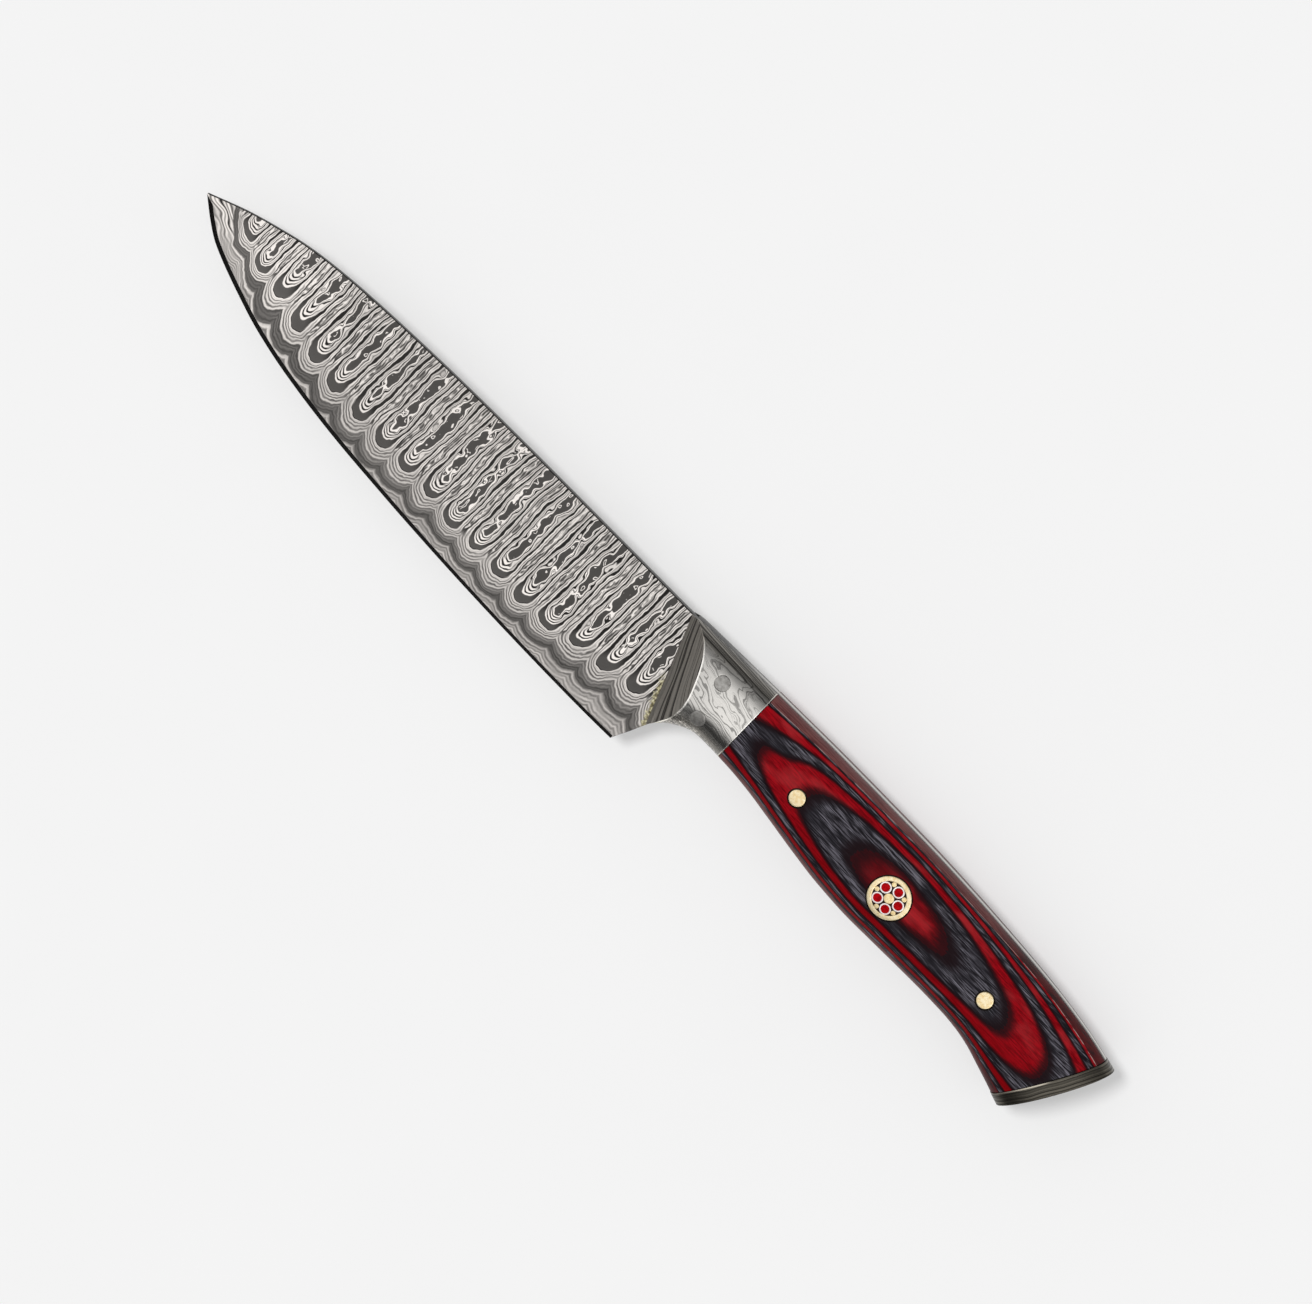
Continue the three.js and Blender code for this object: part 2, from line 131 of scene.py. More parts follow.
spine_y, edge_y, heel_y = curve(SPINE), curve(EDGE), curve(HEEL)
grip_top, grip_bottom = curve(GRIP_TOP), curve(GRIP_BOTTOM)
grip_crown, grip_ridge = curve(GRIP_CROWN), curve(GRIP_RIDGE)
top_power, bottom_power = curve(GRIP_TOP_POWER), curve(GRIP_BOTTOM_POWER)


def face_z(x, y):
    return FACE_BASE + FACE_PER_X * x + FACE_PER_Y * y


def grip_value(x, y, z, grow=0.0):
    """1 on the grip's surface, less inside."""
    yr, a = grip_ridge(x), grip_crown(x) + grow
    up = y >= yr
    reach = np.where(up, grip_top(x) + grow - yr, yr - grip_bottom(x) + grow)
    p = np.where(up, top_power(x), bottom_power(x))
    q = np.abs(y - yr) / reach
    return (q ** p + (np.abs(z) / a) ** p) ** (1 / p)


def grip_normal(x, y, z, grow=0.0):
    e = 1e-3
    g = np.stack([
        grip_value(x + e, y, z, grow) - grip_value(x - e, y, z, grow),
        grip_value(x, y + e, z, grow) - grip_value(x, y - e, z, grow),
        grip_value(x, y, z + e, grow) - grip_value(x, y, z - e, grow)], -1)
    return g / np.maximum(np.linalg.norm(g, axis=-1, keepdims=True), 1e-12)


def crown_z(x, y):
    """Height of the grip's surface over (x, y)."""
    yr, a = grip_ridge(x), grip_crown(x)
    up = y >= yr
    reach = np.where(up, grip_top(x) - yr, yr - grip_bottom(x))
    p = np.where(up, top_power(x), bottom_power(x))
    q = np.clip(np.abs(y - yr) / reach, 0, 1)
    return a * (1 - q ** p) ** (1 / p)


def front_arc():
    """Where the ramp's plane meets the crown: x for a row of heights y."""
    n = math.hypot(SEAM_END[0] - SEAM_START[0], SEAM_END[1] - SEAM_START[1])
    nx, ny = -(SEAM_END[1] - SEAM_START[1]) / n, (SEAM_END[0] - SEAM_START[0]) / n
    x = np.linspace(139.0, 168.0, 2901)
    rows = []
    for y in np.linspace(-8.5, 15.2, 20):
        d = (x - SEAM_START[0]) * nx + (y - SEAM_START[1]) * ny
        gap = crown_z(x, np.full_like(x, y)) - (face_z(x, y) + RAMP_LIP + RAMP_SLOPE * d)
        inside = (d > 0) & (gap > 0)
        rows.append((float(y), float(x[inside][-1]) if inside.any() else 140.0))
    return rows


FRONT_ARC = front_arc()


# ------------------------------------------------------------------- mesh tools
def mesh_of(verts, faces, name="m"):
    me = bpy.data.meshes.new(name)
    me.from_pydata([tuple(map(float, v)) for v in verts], [], faces)
    me.update()
    return me


def loft(stations):
    """Rings of (y, z) at each x, anticlockwise seen from +X, closed at both ends."""
    n = len(stations[0][1])
    verts, faces = [], []
    for x, ring in stations:
        verts += [(x, y, z) for y, z in ring]
    for i in range(len(stations) - 1):
        for j in range(n):
            k = (j + 1) % n
            faces.append((i * n + j, i * n + k, (i + 1) * n + k, (i + 1) * n + j))
    for base, turned in ((0, True), ((len(stations) - 1) * n, False)):
        ring = list(range(base, base + n))
        faces.append(tuple(reversed(ring)) if turned else tuple(ring))
    me = mesh_of(verts, faces)
    bm = bmesh.new()
    bm.from_mesh(me)
    bmesh.ops.recalc_face_normals(bm, faces=bm.faces[:])
    bm.to_mesh(me)
    bm.free()
    return me


def prism(outline, z0, z1):
    n = len(outline)
    verts = [(x, y, z0) for x, y in outline] + [(x, y, z1) for x, y in outline]
    faces = [tuple(range(n)), tuple(range(2 * n - 1, n - 1, -1))]
    faces += [(i, (i + 1) % n, n + (i + 1) % n, n + i) for i in range(n)]
    me = mesh_of(verts, faces)
    bm = bmesh.new()
    bm.from_mesh(me)
    bmesh.ops.recalc_face_normals(bm, faces=bm.faces[:])
    bm.to_mesh(me)
    bm.free()
    return me


def bar(x, y, r, count, z0=-20.0, z1=20.0):
    return prism([(x + r * math.cos(2 * math.pi * k / count), y + r * math.sin(2 * math.pi * k / count))
                  for k in range(count)], z0, z1)


def joined(meshes):
    bm = bmesh.new()
    for me in meshes:
        bm.from_mesh(me)
    out = bpy.data.meshes.new("m")
    bm.to_mesh(out)
    bm.free()
    return out


def boolean(a, b, op):
    oa, ob = bpy.data.objects.new("op_a", a), bpy.data.objects.new("op_b", b)
    for o in (oa, ob):
        bpy.context.scene.collection.objects.link(o)
    mod = oa.modifiers.new("cut", "BOOLEAN")
    mod.operation, mod.solver, mod.object = op, "EXACT", ob
    bpy.context.view_layer.update()
    got = bpy.data.meshes.new_from_object(oa.evaluated_get(bpy.context.evaluated_depsgraph_get()))
    bpy.data.objects.remove(oa)
    bpy.data.objects.remove(ob)
    return got


def cut(me, point, normal):
    """Takes away what lies on the normal's side of a plane and closes the cut."""
    bm = bmesh.new()
    bm.from_mesh(me)
    bmesh.ops.bisect_plane(
        bm, geom=bm.verts[:] + bm.edges[:] + bm.faces[:], dist=1e-6,
        plane_co=Vector(point), plane_no=Vector(normal), clear_outer=True)
    open_edges = [e for e in bm.edges if e.is_boundary]
    if open_edges:
        bmesh.ops.edgenet_fill(bm, edges=open_edges)
    bmesh.ops.recalc_face_normals(bm, faces=bm.faces[:])
    out = bpy.data.meshes.new("m")
    bm.to_mesh(out)
    bm.free()
    return out


def mirrored(me):
    bm = bmesh.new()
    bm.from_mesh(me)
    for v in bm.verts:
        v.co.z = -v.co.z
    bmesh.ops.reverse_faces(bm, faces=bm.faces[:])
    out = bpy.data.meshes.new("m")
    bm.to_mesh(out)
    bm.free()
    return out


def arrays(me):
    co = np.zeros(len(me.vertices) * 3)
    me.vertices.foreach_get("co", co)
    fn = np.zeros(len(me.polygons) * 3)
    me.polygons.foreach_get("normal", fn)
    fc = np.zeros(len(me.polygons) * 3)
    me.polygons.foreach_get("center", fc)
    lv = np.zeros(len(me.loops), np.int32)
    me.loops.foreach_get("vertex_index", lv)
    start = np.zeros(len(me.polygons), np.int32)
    me.polygons.foreach_get("loop_start", start)
    total = np.zeros(len(me.polygons), np.int32)
    me.polygons.foreach_get("loop_total", total)
    return co.reshape(-1, 3), fn.reshape(-1, 3), fc.reshape(-1, 3), lv, start, total


def crown_normals(me, grow=0.0, soft=None):
    """Exact normals on the crowned surface, flat ones on every cut face."""
    co, fn, fc, lv, start, total = arrays(me)
    on_vert = np.abs(grip_value(co[:, 0], co[:, 1], co[:, 2], grow) - 1) < 2e-3
    vn = grip_normal(co[:, 0], co[:, 1], co[:, 2], grow)
    normals = np.repeat(fn, total, axis=0)
    face_of = np.repeat(np.arange(len(total)), total)
    all_on = np.ones(len(total), bool)
    np.logical_and.at(all_on, face_of, on_vert[lv])
    fcn = grip_normal(fc[:, 0], fc[:, 1], fc[:, 2], grow)
    on_face = all_on & ((fcn * fn).sum(1) > 0.95)
    pick = on_face[face_of]
    normals[pick] = vn[lv[pick]]
    if soft is not None:
        for i in np.nonzero(~on_face)[0]:
            n = soft(fc[i], fn[i])
            if n is None:
                continue
            for k in range(start[i], start[i] + total[i]):
                normals[k] = n(co[lv[k]])
    me.polygons.foreach_set("use_smooth", np.ones(len(total), bool))
    me.normals_split_custom_set([tuple(v) for v in normals])
    return on_face


def finish_piece(me, name, node, materials):
    """Puts a mesh made in the working frame into the row frame and hands it over."""
    me.name = name
    me.transform(Matrix.Translation(SHIFT / 1000) @ Matrix.Scale(0.001, 4))
    o = bpy.data.objects.new(name, me)
    bpy.context.scene.collection.objects.link(o)
    me.materials.clear()
    for m in materials:
        me.materials.append(m)
    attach(o, "root")
    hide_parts(node)
    return o


# ------------------------------------------------------------------- node maths
class S:
    """A socket in a material, with arithmetic."""

    def __init__(self, tree, socket):
        self.t, self.s = tree, socket

    def __add__(self, o): return self.t.math("ADD", self, o)
    __radd__ = __add__
    def __sub__(self, o): return self.t.math("SUBTRACT", self, o)
    def __rsub__(self, o): return self.t.math("SUBTRACT", o, self)
    def __mul__(self, o): return self.t.math("MULTIPLY", self, o)
    __rmul__ = __mul__
    def __truediv__(self, o): return self.t.math("DIVIDE", self, o)
    def __neg__(self): return self.t.math("MULTIPLY", self, -1.0)


def linear(c):
    """A 0-255 display value as linear light."""
    c = c / 255.0
    return c / 12.92 if c <= 0.04045 else ((c + 0.055) / 1.055) ** 2.4


def rgb(r, g, b):
    return (linear(r), linear(g), linear(b), 1.0)


class Tree:
    def __init__(self, name):
        self.mat = bpy.data.materials.new(name)
        self.mat.use_nodes = True
        self.nt = self.mat.node_tree
        self.nt.nodes.clear()
        self.out = self.nt.nodes.new("ShaderNodeOutputMaterial")
        self.bsdf = self.nt.nodes.new("ShaderNodeBsdfPrincipled")
        self.nt.links.new(self.bsdf.outputs[0], self.out.inputs[0])
        tc = self.nt.nodes.new("ShaderNodeTexCoord")
        sep = self.nt.nodes.new("ShaderNodeSeparateXYZ")
        self.nt.links.new(tc.outputs["Object"], sep.inputs[0])
        self.x = S(self, sep.outputs[0]) * 1000.0 - SHIFT[0]
        self.y = S(self, sep.outputs[1]) * 1000.0 - SHIFT[1]
        self.z = S(self, sep.outputs[2]) * 1000.0 - SHIFT[2]

    def put(self, value, socket):
        if isinstance(value, S):
            self.nt.links.new(value.s, socket)
        else:
            socket.default_value = value

    def math(self, op, a, b=None, c=None, clamp=False):
        n = self.nt.nodes.new("ShaderNodeMath")
        n.operation, n.use_clamp = op, clamp
        for value, socket in zip((a, b, c), n.inputs):
            if value is not None:
                self.put(value, socket)
        return S(self, n.outputs[0])

    def abs(self, a): return self.math("ABSOLUTE", a)
    def sin(self, a): return self.math("SINE", a)
    def sqrt(self, a): return self.math("SQRT", a)
    def min(self, a, b): return self.math("MINIMUM", a, b)
    def max(self, a, b): return self.math("MAXIMUM", a, b)
    def fract(self, a): return self.math("FRACT", a)
    def power(self, a, b): return self.math("POWER", a, b)
    def clamp(self, a): return self.math("ADD", a, 0.0, clamp=True)

    def smooth(self, x, lo, hi, a=0.0, b=1.0):
        n = self.nt.nodes.new("ShaderNodeMapRange")
        n.interpolation_type = "SMOOTHSTEP"
        for value, socket in zip((x, lo, hi, a, b), n.inputs):
            self.put(value, socket)
        return S(self, n.outputs[0])

    def lerp(self, t, a, b):
        n = self.nt.nodes.new("ShaderNodeMix")
        n.data_type = "FLOAT"
        self.put(t, n.inputs[0]); self.put(a, n.inputs[2]); self.put(b, n.inputs[3])
        return S(self, n.outputs[0])

    def mix(self, t, a, b, how="MIX"):
        n = self.nt.nodes.new("ShaderNodeMix")
        n.data_type, n.blend_type = "RGBA", how
        self.put(t, n.inputs[0]); self.put(a, n.inputs[6]); self.put(b, n.inputs[7])
        return S(self, n.outputs[2])

    def vec(self, x, y, z=0.0):
        n = self.nt.nodes.new("ShaderNodeCombineXYZ")
        for value, socket in zip((x, y, z), n.inputs):
            self.put(value, socket)
        return S(self, n.outputs[0])

    def noise(self, v, scale=1.0, detail=2.0, rough=0.5, warp=0.0):
        """About 0.5, from 0.25 to 0.75 mostly."""
        n = self.nt.nodes.new("ShaderNodeTexNoise")
        n.noise_dimensions = "3D"
        self.put(v, n.inputs["Vector"])
        n.inputs["Scale"].default_value = scale
        n.inputs["Detail"].default_value = detail
        n.inputs["Roughness"].default_value = rough
        n.inputs["Distortion"].default_value = warp
        return S(self, n.outputs[0])

    def noise1(self, w, scale=1.0, detail=1.0):
        n = self.nt.nodes.new("ShaderNodeTexNoise")
        n.noise_dimensions = "1D"
        self.put(w, n.inputs["W"])
        n.inputs["Scale"].default_value = scale
        n.inputs["Detail"].default_value = detail
        return S(self, n.outputs[0])

    def ramp(self, fac, stops, how="LINEAR"):
        n = self.nt.nodes.new("ShaderNodeValToRGB")
        n.color_ramp.interpolation = how
        el = n.color_ramp.elements
        while len(el) < len(stops):
            el.new(0.5)
        for e, (at, c) in zip(el, stops):
            e.position = at
            e.color = c if isinstance(c, tuple) else (c, c, c, 1)
        self.put(fac, n.inputs[0])
        return S(self, n.outputs[0])

    def grey(self, fac, stops, how="LINEAR"):
        """A number by position: stops of (position, value)."""
        c = self.ramp(fac, stops, how)
        n = self.nt.nodes.new("ShaderNodeSeparateColor")
        self.put(c, n.inputs[0])
        return S(self, n.outputs[0])

    def table(self, x, points, width, top, bottom):
        """A number by position, for x from 0 to width and values from bottom to top."""
        n = self.nt.nodes.new("ShaderNodeFloatCurve")
        cu = n.mapping.curves[0]
        pts = [(px / width, (v - bottom) / (top - bottom)) for px, v in points]
        while len(cu.points) < len(pts):
            cu.points.new(0.5, 0.5)
        for p, (a, b) in zip(cu.points, pts):
            p.location = (a, b)
            p.handle_type = "AUTO_CLAMPED"
        n.mapping.update()
        n.inputs["Factor"].default_value = 1.0
        self.put(self.math("ADD", x / width, 0.0, clamp=True), n.inputs["Value"])
        return S(self, n.outputs[0]) * (top - bottom) + bottom

    def bump(self, height, strength, distance, soft=0.0):
        n = self.nt.nodes.new("ShaderNodeBump")
        n.inputs["Strength"].default_value = strength
        n.inputs["Distance"].default_value = distance
        self.put(height, n.inputs["Height"])
        if soft:
            b = self.nt.nodes.new("ShaderNodeBevel")
            b.samples = 6
            b.inputs["Radius"].default_value = soft
            self.nt.links.new(b.outputs[0], n.inputs["Normal"])
        self.nt.links.new(n.outputs[0], self.bsdf.inputs["Normal"])

    def set(self, **values):
        names = {"color": "Base Color", "metal": "Metallic", "rough": "Roughness",
                 "spec": "Specular IOR Level", "coat": "Coat Weight",
                 "coat_rough": "Coat Roughness", "coat_ior": "Coat IOR", "ior": "IOR"}
        for k, value in values.items():
            self.put(value, self.bsdf.inputs[names[k]])


def from_grey(T, g, warm=1.0, red=0.03):
    """A steel colour from its brightness, faintly warm in the darks."""
    n = T.nt.nodes.new("ShaderNodeCombineColor")
    T.put(g * (1.0 + red * warm), n.inputs[0])
    T.put(g, n.inputs[1])
    T.put(g * (1.0 - 0.05 * warm), n.inputs[2])
    return S(T, n.outputs[0])


# -------------------------------------------------------------------- materials
PX = 4.51  # pattern units in a millimetre


def blade_pattern(T, x, y, z):
    """Ladder-pattern steel: nested U-shaped loops down from the spine, a dark wavy
    band below them, fine lines to the edge. Returns brightness in linear light."""
    u0 = x * PX
    v0 = (T.abs(z) * 0.242 - y * 0.97) * PX
    w1 = T.noise(T.vec(u0 / 34.0, v0 / 46.0, 3.0), detail=1.0)
    w2 = T.noise(T.vec(u0 / 30.0, v0 / 40.0, 9.0), detail=1.0)
    w3 = T.noise(T.vec(u0 / 6.5, v0 / 11.0, 5.0), detail=1.0)
    w4 = T.noise(T.vec(u0 / 7.5, v0 / 7.5, 17.0), detail=1.0)
    u = u0 + (w1 - 0.5) * 9.0 + (w3 - 0.5) * 3.4
    v = v0 + (w2 - 0.5) * 8.0 + (w4 - 0.5) * 3.0
    dev = T.table(u0, [(0, 0), (55, 0), (120, 4.5), (200, 5.5), (300, 2.5), (400, 2.8),
                       (500, 3.2), (580, 1.3), (652, 0), (700, 0)], 700.0, 10.0, -10.0)
    q = (u - 55.0 + dev) / 35.1
    k = T.max(T.math("ROUND", q), 0.0)
    sx = T.abs(q - k) * 35.1
    sx = sx * T.lerp(T.smooth(u, 55.5, 54.5), 1.0, 1.08)
    # heights, down the blade, of the dark crescent under each loop and of the wavy band
    b1 = T.table(u0, [(0, -24), (55, -4), (88, 12), (121, 13), (156, 21), (191, 33), (226, 37),
                      (263, 42), (298, 43), (333, 44), (367, 43), (404, 50), (439, 47), (474, 48),
                      (509, 47), (544, 49), (580, 40), (617, 33), (652, 27), (700, 27)],
                 700.0, 100.0, -100.0)
    b2 = T.table(u0, [(0, -2), (45, 6), (55, 14), (70, 21), (88, 31), (105, 39), (121, 46),
                      (156, 54), (191, 61), (226, 66), (263, 68), (298, 70), (367, 68), (439, 70),
                      (509, 71), (544, 70), (580, 66), (617, 62), (652, 57), (675, 60), (700, 62)],
                 700.0, 100.0, -100.0)
    c = (b2 - b1) / 6.0
    vb = b1 - c * 6.6
    dv = T.max(v - vb, 0.0) / c
    wide = T.smooth(dv, 0.0, 8.5, 0.62, 0.36) * T.smooth(dv, 9.0, 15.0, 1.0, 0.72)
    dx = sx * wide
    r = T.power(T.power(dx, 1.75) + T.power(dv, 1.75), 1 / 1.75)
    low = T.smooth(dv / T.max(r, 0.5), 0.45, 0.92)
    # each loop's rings stand a little nearer or further than its neighbour's
    shift = T.noise(T.vec(k * 3.7, v0 / 45.0, 21.0), detail=0.0)
    r = r + (shift - 0.5) * 4.6 * T.smooth(r, 7.4, 4.6) * (1.0 - low * 0.5)
    core = T.noise(T.vec(u0 / 8.5, v0 / 13.0, 31.0), detail=0.0)
    core2 = T.noise(T.vec(u0 / 4.6, v0 / 6.0, 37.0), detail=0.0)
    r = r + ((core - 0.50) * 9.0 + (core2 - 0.5) * 1.8) * T.smooth(r, 5.6, 1.6) * (1.0 - low * 0.72)
    # the dark crescent is thick under some loops and thin under others
    fat = T.noise(T.vec(k * 5.3, 0.0, 44.0), detail=0.0)
    r = r - low * T.smooth(fat, 0.34, 0.62, 0.1, 0.95) * T.smooth(r, 5.8, 7.5) * T.smooth(r, 10.2, 7.8)

    L = linear
    W = L(242)
    low_stops = [
        (0.0, L(78)), (2.2, L(84)), (2.35, W), (2.85, W), (3.0, L(36)), (3.4, L(36)), (3.55, W), (3.95, W),
        (4.1, L(38)), (4.45, L(38)), (4.6, W), (4.95, W), (5.1, L(40)), (5.38, L(40)), (5.5, W),
        (5.82, W), (5.98, L(86)), (7.2, L(90)), (7.36, L(44)), (7.48, L(44)), (7.56, L(224)), (7.76, L(216)),
        (7.9, L(180)), (10.45, L(158)), (10.6, L(206)), (10.8, L(200)), (11.0, L(124))]
    side_stops = [
        (0.0, L(80)), (2.0, L(82)), (2.15, W), (2.8, W), (2.95, L(80)), (3.1, L(80)), (3.2, W), (3.36, W),
        (3.5, L(44)), (4.05, L(44)), (4.3, L(226)),
        (4.75, L(214)), (4.95, L(104)), (5.2, L(196)), (5.75, L(200)), (5.95, L(44)), (7.15, L(40)),
        (7.4, W), (7.9, L(210)), (8.15, L(180)), (8.8, L(186)), (9.0, L(64)), (9.5, L(64)), (9.7, L(214)),
        (10.5, L(190)), (10.8, L(200)), (11.0, L(124))]
    g = T.lerp(low, T.grey(r / 11.0, [(a / 11.0, b) for a, b in side_stops]),
               T.grey(r / 11.0, [(a / 11.0, b) for a, b in low_stops]))
    # small ringed islands in the loops' dark cores
    isle = T.noise(T.vec(u0 / 4.6, v0 / 7.5, 57.0), detail=0.0)
    ring = T.smooth(T.abs(isle - 0.70), 0.050, 0.022) * T.smooth(r, 1.4, 0.9)
    g = T.lerp(ring, g, L(232))
    # the wavy band and what lies below it
    band = T.grey((r - 11.0) / 9.0, [
        (0.0, L(124)), (0.06, L(132)), (0.13, L(112)), (0.20, L(88)), (0.25, L(90)), (0.29, L(138)),
        (0.33, L(176)), (0.37, L(146)), (0.44, L(154)), (0.48, L(178)), (0.62, L(160)), (1.0, L(164))])
    # towards the tip the band is darker and its borders are harder
    firm = T.grey((r - 11.0) / 9.0, [
        (0.0, L(84)), (0.03, L(92)), (0.12, L(100)), (0.22, L(90)), (0.25, L(98)), (0.28, L(186)),
        (0.32, L(196)), (0.35, L(140)), (0.45, L(150)), (0.48, L(176)), (0.62, L(158)), (1.0, L(164))])
    band = T.lerp(T.smooth(u0, 290.0, 190.0), band, firm)
    g = T.lerp(T.smooth(r, 10.95, 11.05), g, band)
    # fine lines between the bands
    fine = T.lerp(low, T.sin(r * 3.4 + w3 * 6.0), T.sin(r * 7.0 + w3 * 4.0))
    zone = T.smooth(r, 7.7, 8.2) * T.smooth(r, 10.6, 10.2)
    below = T.smooth(r, 13.4, 14.2)
    lean = T.noise(T.vec(u0 / 22.0, v0 / 9.0, 43.0), detail=1.0)
    g = g * (fine * T.smooth(lean, 0.3, 0.7, 0.40, 0.80) * zone + 1.0)
    g = g * (T.sin(r * 7.6 + w3 * 4.0) * T.smooth(lean, 0.3, 0.7, 0.14, 0.42) * below + 1.0)
    g = g * (T.sin(r * 8.6 + w4 * 5.0) * T.smooth(lean, 0.3, 0.7, 0.18, 0.38) * T.smooth(r, 10.9, 11.3) * T.smooth(r, 14.0, 13.0) + 1.0)
    # the ragged line halfway between two loops
    cusp = T.smooth(sx, 16.1, 16.9) * T.smooth(dv, 7.6, 5.0)
    seam_noise = T.noise(T.vec(u0 / 4.0, v0 / 12.0, 51.0), detail=1.0)
    streak = T.grey(seam_noise, [(0.0, L(48)), (0.43, L(56)), (0.48, L(150)), (0.53, W), (0.62, L(200)), (0.70, L(80))])
    g = T.lerp(cusp * 0.9, g, streak)
    # towards the tip the lines run out along the edge
    tipn = T.noise(T.vec(u0 / 16.0, v0 / 9.0, 61.0), detail=0.0)
    across = v0 - u0 * 0.5 - T.smooth(u0, 30.0, 5.0, 0.0, 3.0) + (tipn - 0.5) * 9.0
    lines = T.sin(across * 1.5) * 0.75 + T.sin(across * 0.62 + 1.0) * 0.35
    strong = T.smooth(across, 6.0, -14.0, 0.34, 0.95)
    tip = (lines * strong + 1.0) * T.smooth(u0, -4.0, 24.0, 0.62, 0.50)
    t = T.smooth(u0 + v0 * 0.5, 66.0, 40.0) * T.smooth(r, 13.0, 14.0)
    g = T.lerp(t, g, tip)
    return g, u0, v0, r


def seam_distance(x, y):
    n = (-(SEAM_END[1] - SEAM_START[1]), SEAM_END[0] - SEAM_START[0])
    k = math.hypot(*n)
    return (x - SEAM_START[0]) * (n[0] / k) + (y - SEAM_START[1]) * (n[1] / k)


def blade_face():
    T = Tree("ladder_steel")
    g, u, v, r = blade_pattern(T, T.x, T.y, T.z)
    L = linear
    # how strongly the acid bit: crisp by the tip and the heel, greyer between
    bite = T.table(u, [(0, 0.95), (110, 1.0), (170, 0.99), (230, 0.97), (330, 0.96), (430, 0.97),
                       (520, 0.99), (600, 1.0), (700, 1.0)], 700.0, 1.2, 0.0)
    g = T.lerp(bite, 0.36, g)
    cloud = T.noise(T.vec(u / 60.0, v / 30.0, 71.0), detail=2.0)
    grain = T.noise(T.vec(u / 1.1, v / 1.1, 81.0), detail=1.0)
    g = g * ((cloud - 0.5) * 0.35 + 1.0) * ((grain - 0.5) * 0.22 + 1.0)
    # brazing left beside the bolster's lower half
    d = seam_distance(T.x, T.y)
    mott = T.noise(T.vec(u / 3.2, v / 3.2, 91.0), detail=2.0)
    at = T.smooth(T.y, 2.0, -1.5) * T.smooth(d + (mott - 0.5) * 1.8, -1.35, -0.6)
    gold = T.ramp(mott, [(0.34, rgb(58, 52, 38)), (0.45, rgb(118, 110, 82)), (0.54, rgb(158, 150, 112)), (0.62, rgb(212, 206, 170))])
    g = g * T.table(u, [(0, 1.08), (35, 1.12), (60, 1.32), (120, 1.32), (165, 1.12), (220, 1.0), (700, 1.0)], 700.0, 2.0, 0.0)
    col = from_grey(T, T.min(g, 0.93), 1.0, 0.06)
    col = T.mix(at * 0.85, col, gold)
    T.set(color=col, metal=1.0, rough=T.smooth(g, 0.05, 0.8, 0.44, 0.30))
    T.bump(g, 0.35, 0.00003)
    return T.mat


def edge_steel():
    T = Tree("ground_edge")
    n = T.noise(T.vec(T.x * 6.0, T.y * 1.5, T.z * 6.0), detail=2.0)
    s = T.noise(T.vec(T.x * 40.0, T.y * 3.0, 0.0), detail=1.0)
    # painted shade: the ground bevel is coloured near black, standing in for the dark it mirrors
    g = T.smooth(n * 0.6 + s * 0.4, 0.3, 0.7, linear(16), linear(40))
    T.set(color=from_grey(T, g), metal=1.0, rough=T.smooth(s, 0.3, 0.7, 0.32, 0.5))
    T.bump(s, 0.2, 0.00002)
    return T.mat


def spine_steel():
    """Layers seen end-on, running along the blade."""
    T = Tree("layered_spine")
    w = T.noise(T.vec(T.x / 14.0, 0.0, 5.0), detail=2.0)
    f = T.z * 5.0 + (w - 0.5) * 2.4
    line = T.noise1(f, 1.6, 1.0)
    s = T.noise(T.vec(T.x / 1.4, T.y * 3.0, T.z * 9.0), detail=2.0)
    mixed = line * 0.7 + s * 0.3
    # painted shade: the blade's spine is coloured near black, though it mirrors the bright floor
    blade_tone = T.smooth(mixed, 0.32, 0.68, linear(22), linear(64))
    # painted highlight: the tang's rim is coloured light in the middle, standing in for the bright floor it mirrors,
    # with painted shade along both borders
    rim = T.smooth(mixed, 0.32, 0.68, linear(162), linear(222))
    rim = rim * T.smooth(T.abs(T.z), 0.45, 0.9, 1.0, 0.34) * T.smooth(T.abs(T.z), 1.15, 1.35, 1.0, 0.4)
    g = T.lerp(T.smooth(T.x, 150.0, 168.0), blade_tone, rim)
    T.set(color=from_grey(T, g), metal=1.0, rough=0.36)
    T.bump(line, 0.3, 0.00003)
    return T.mat


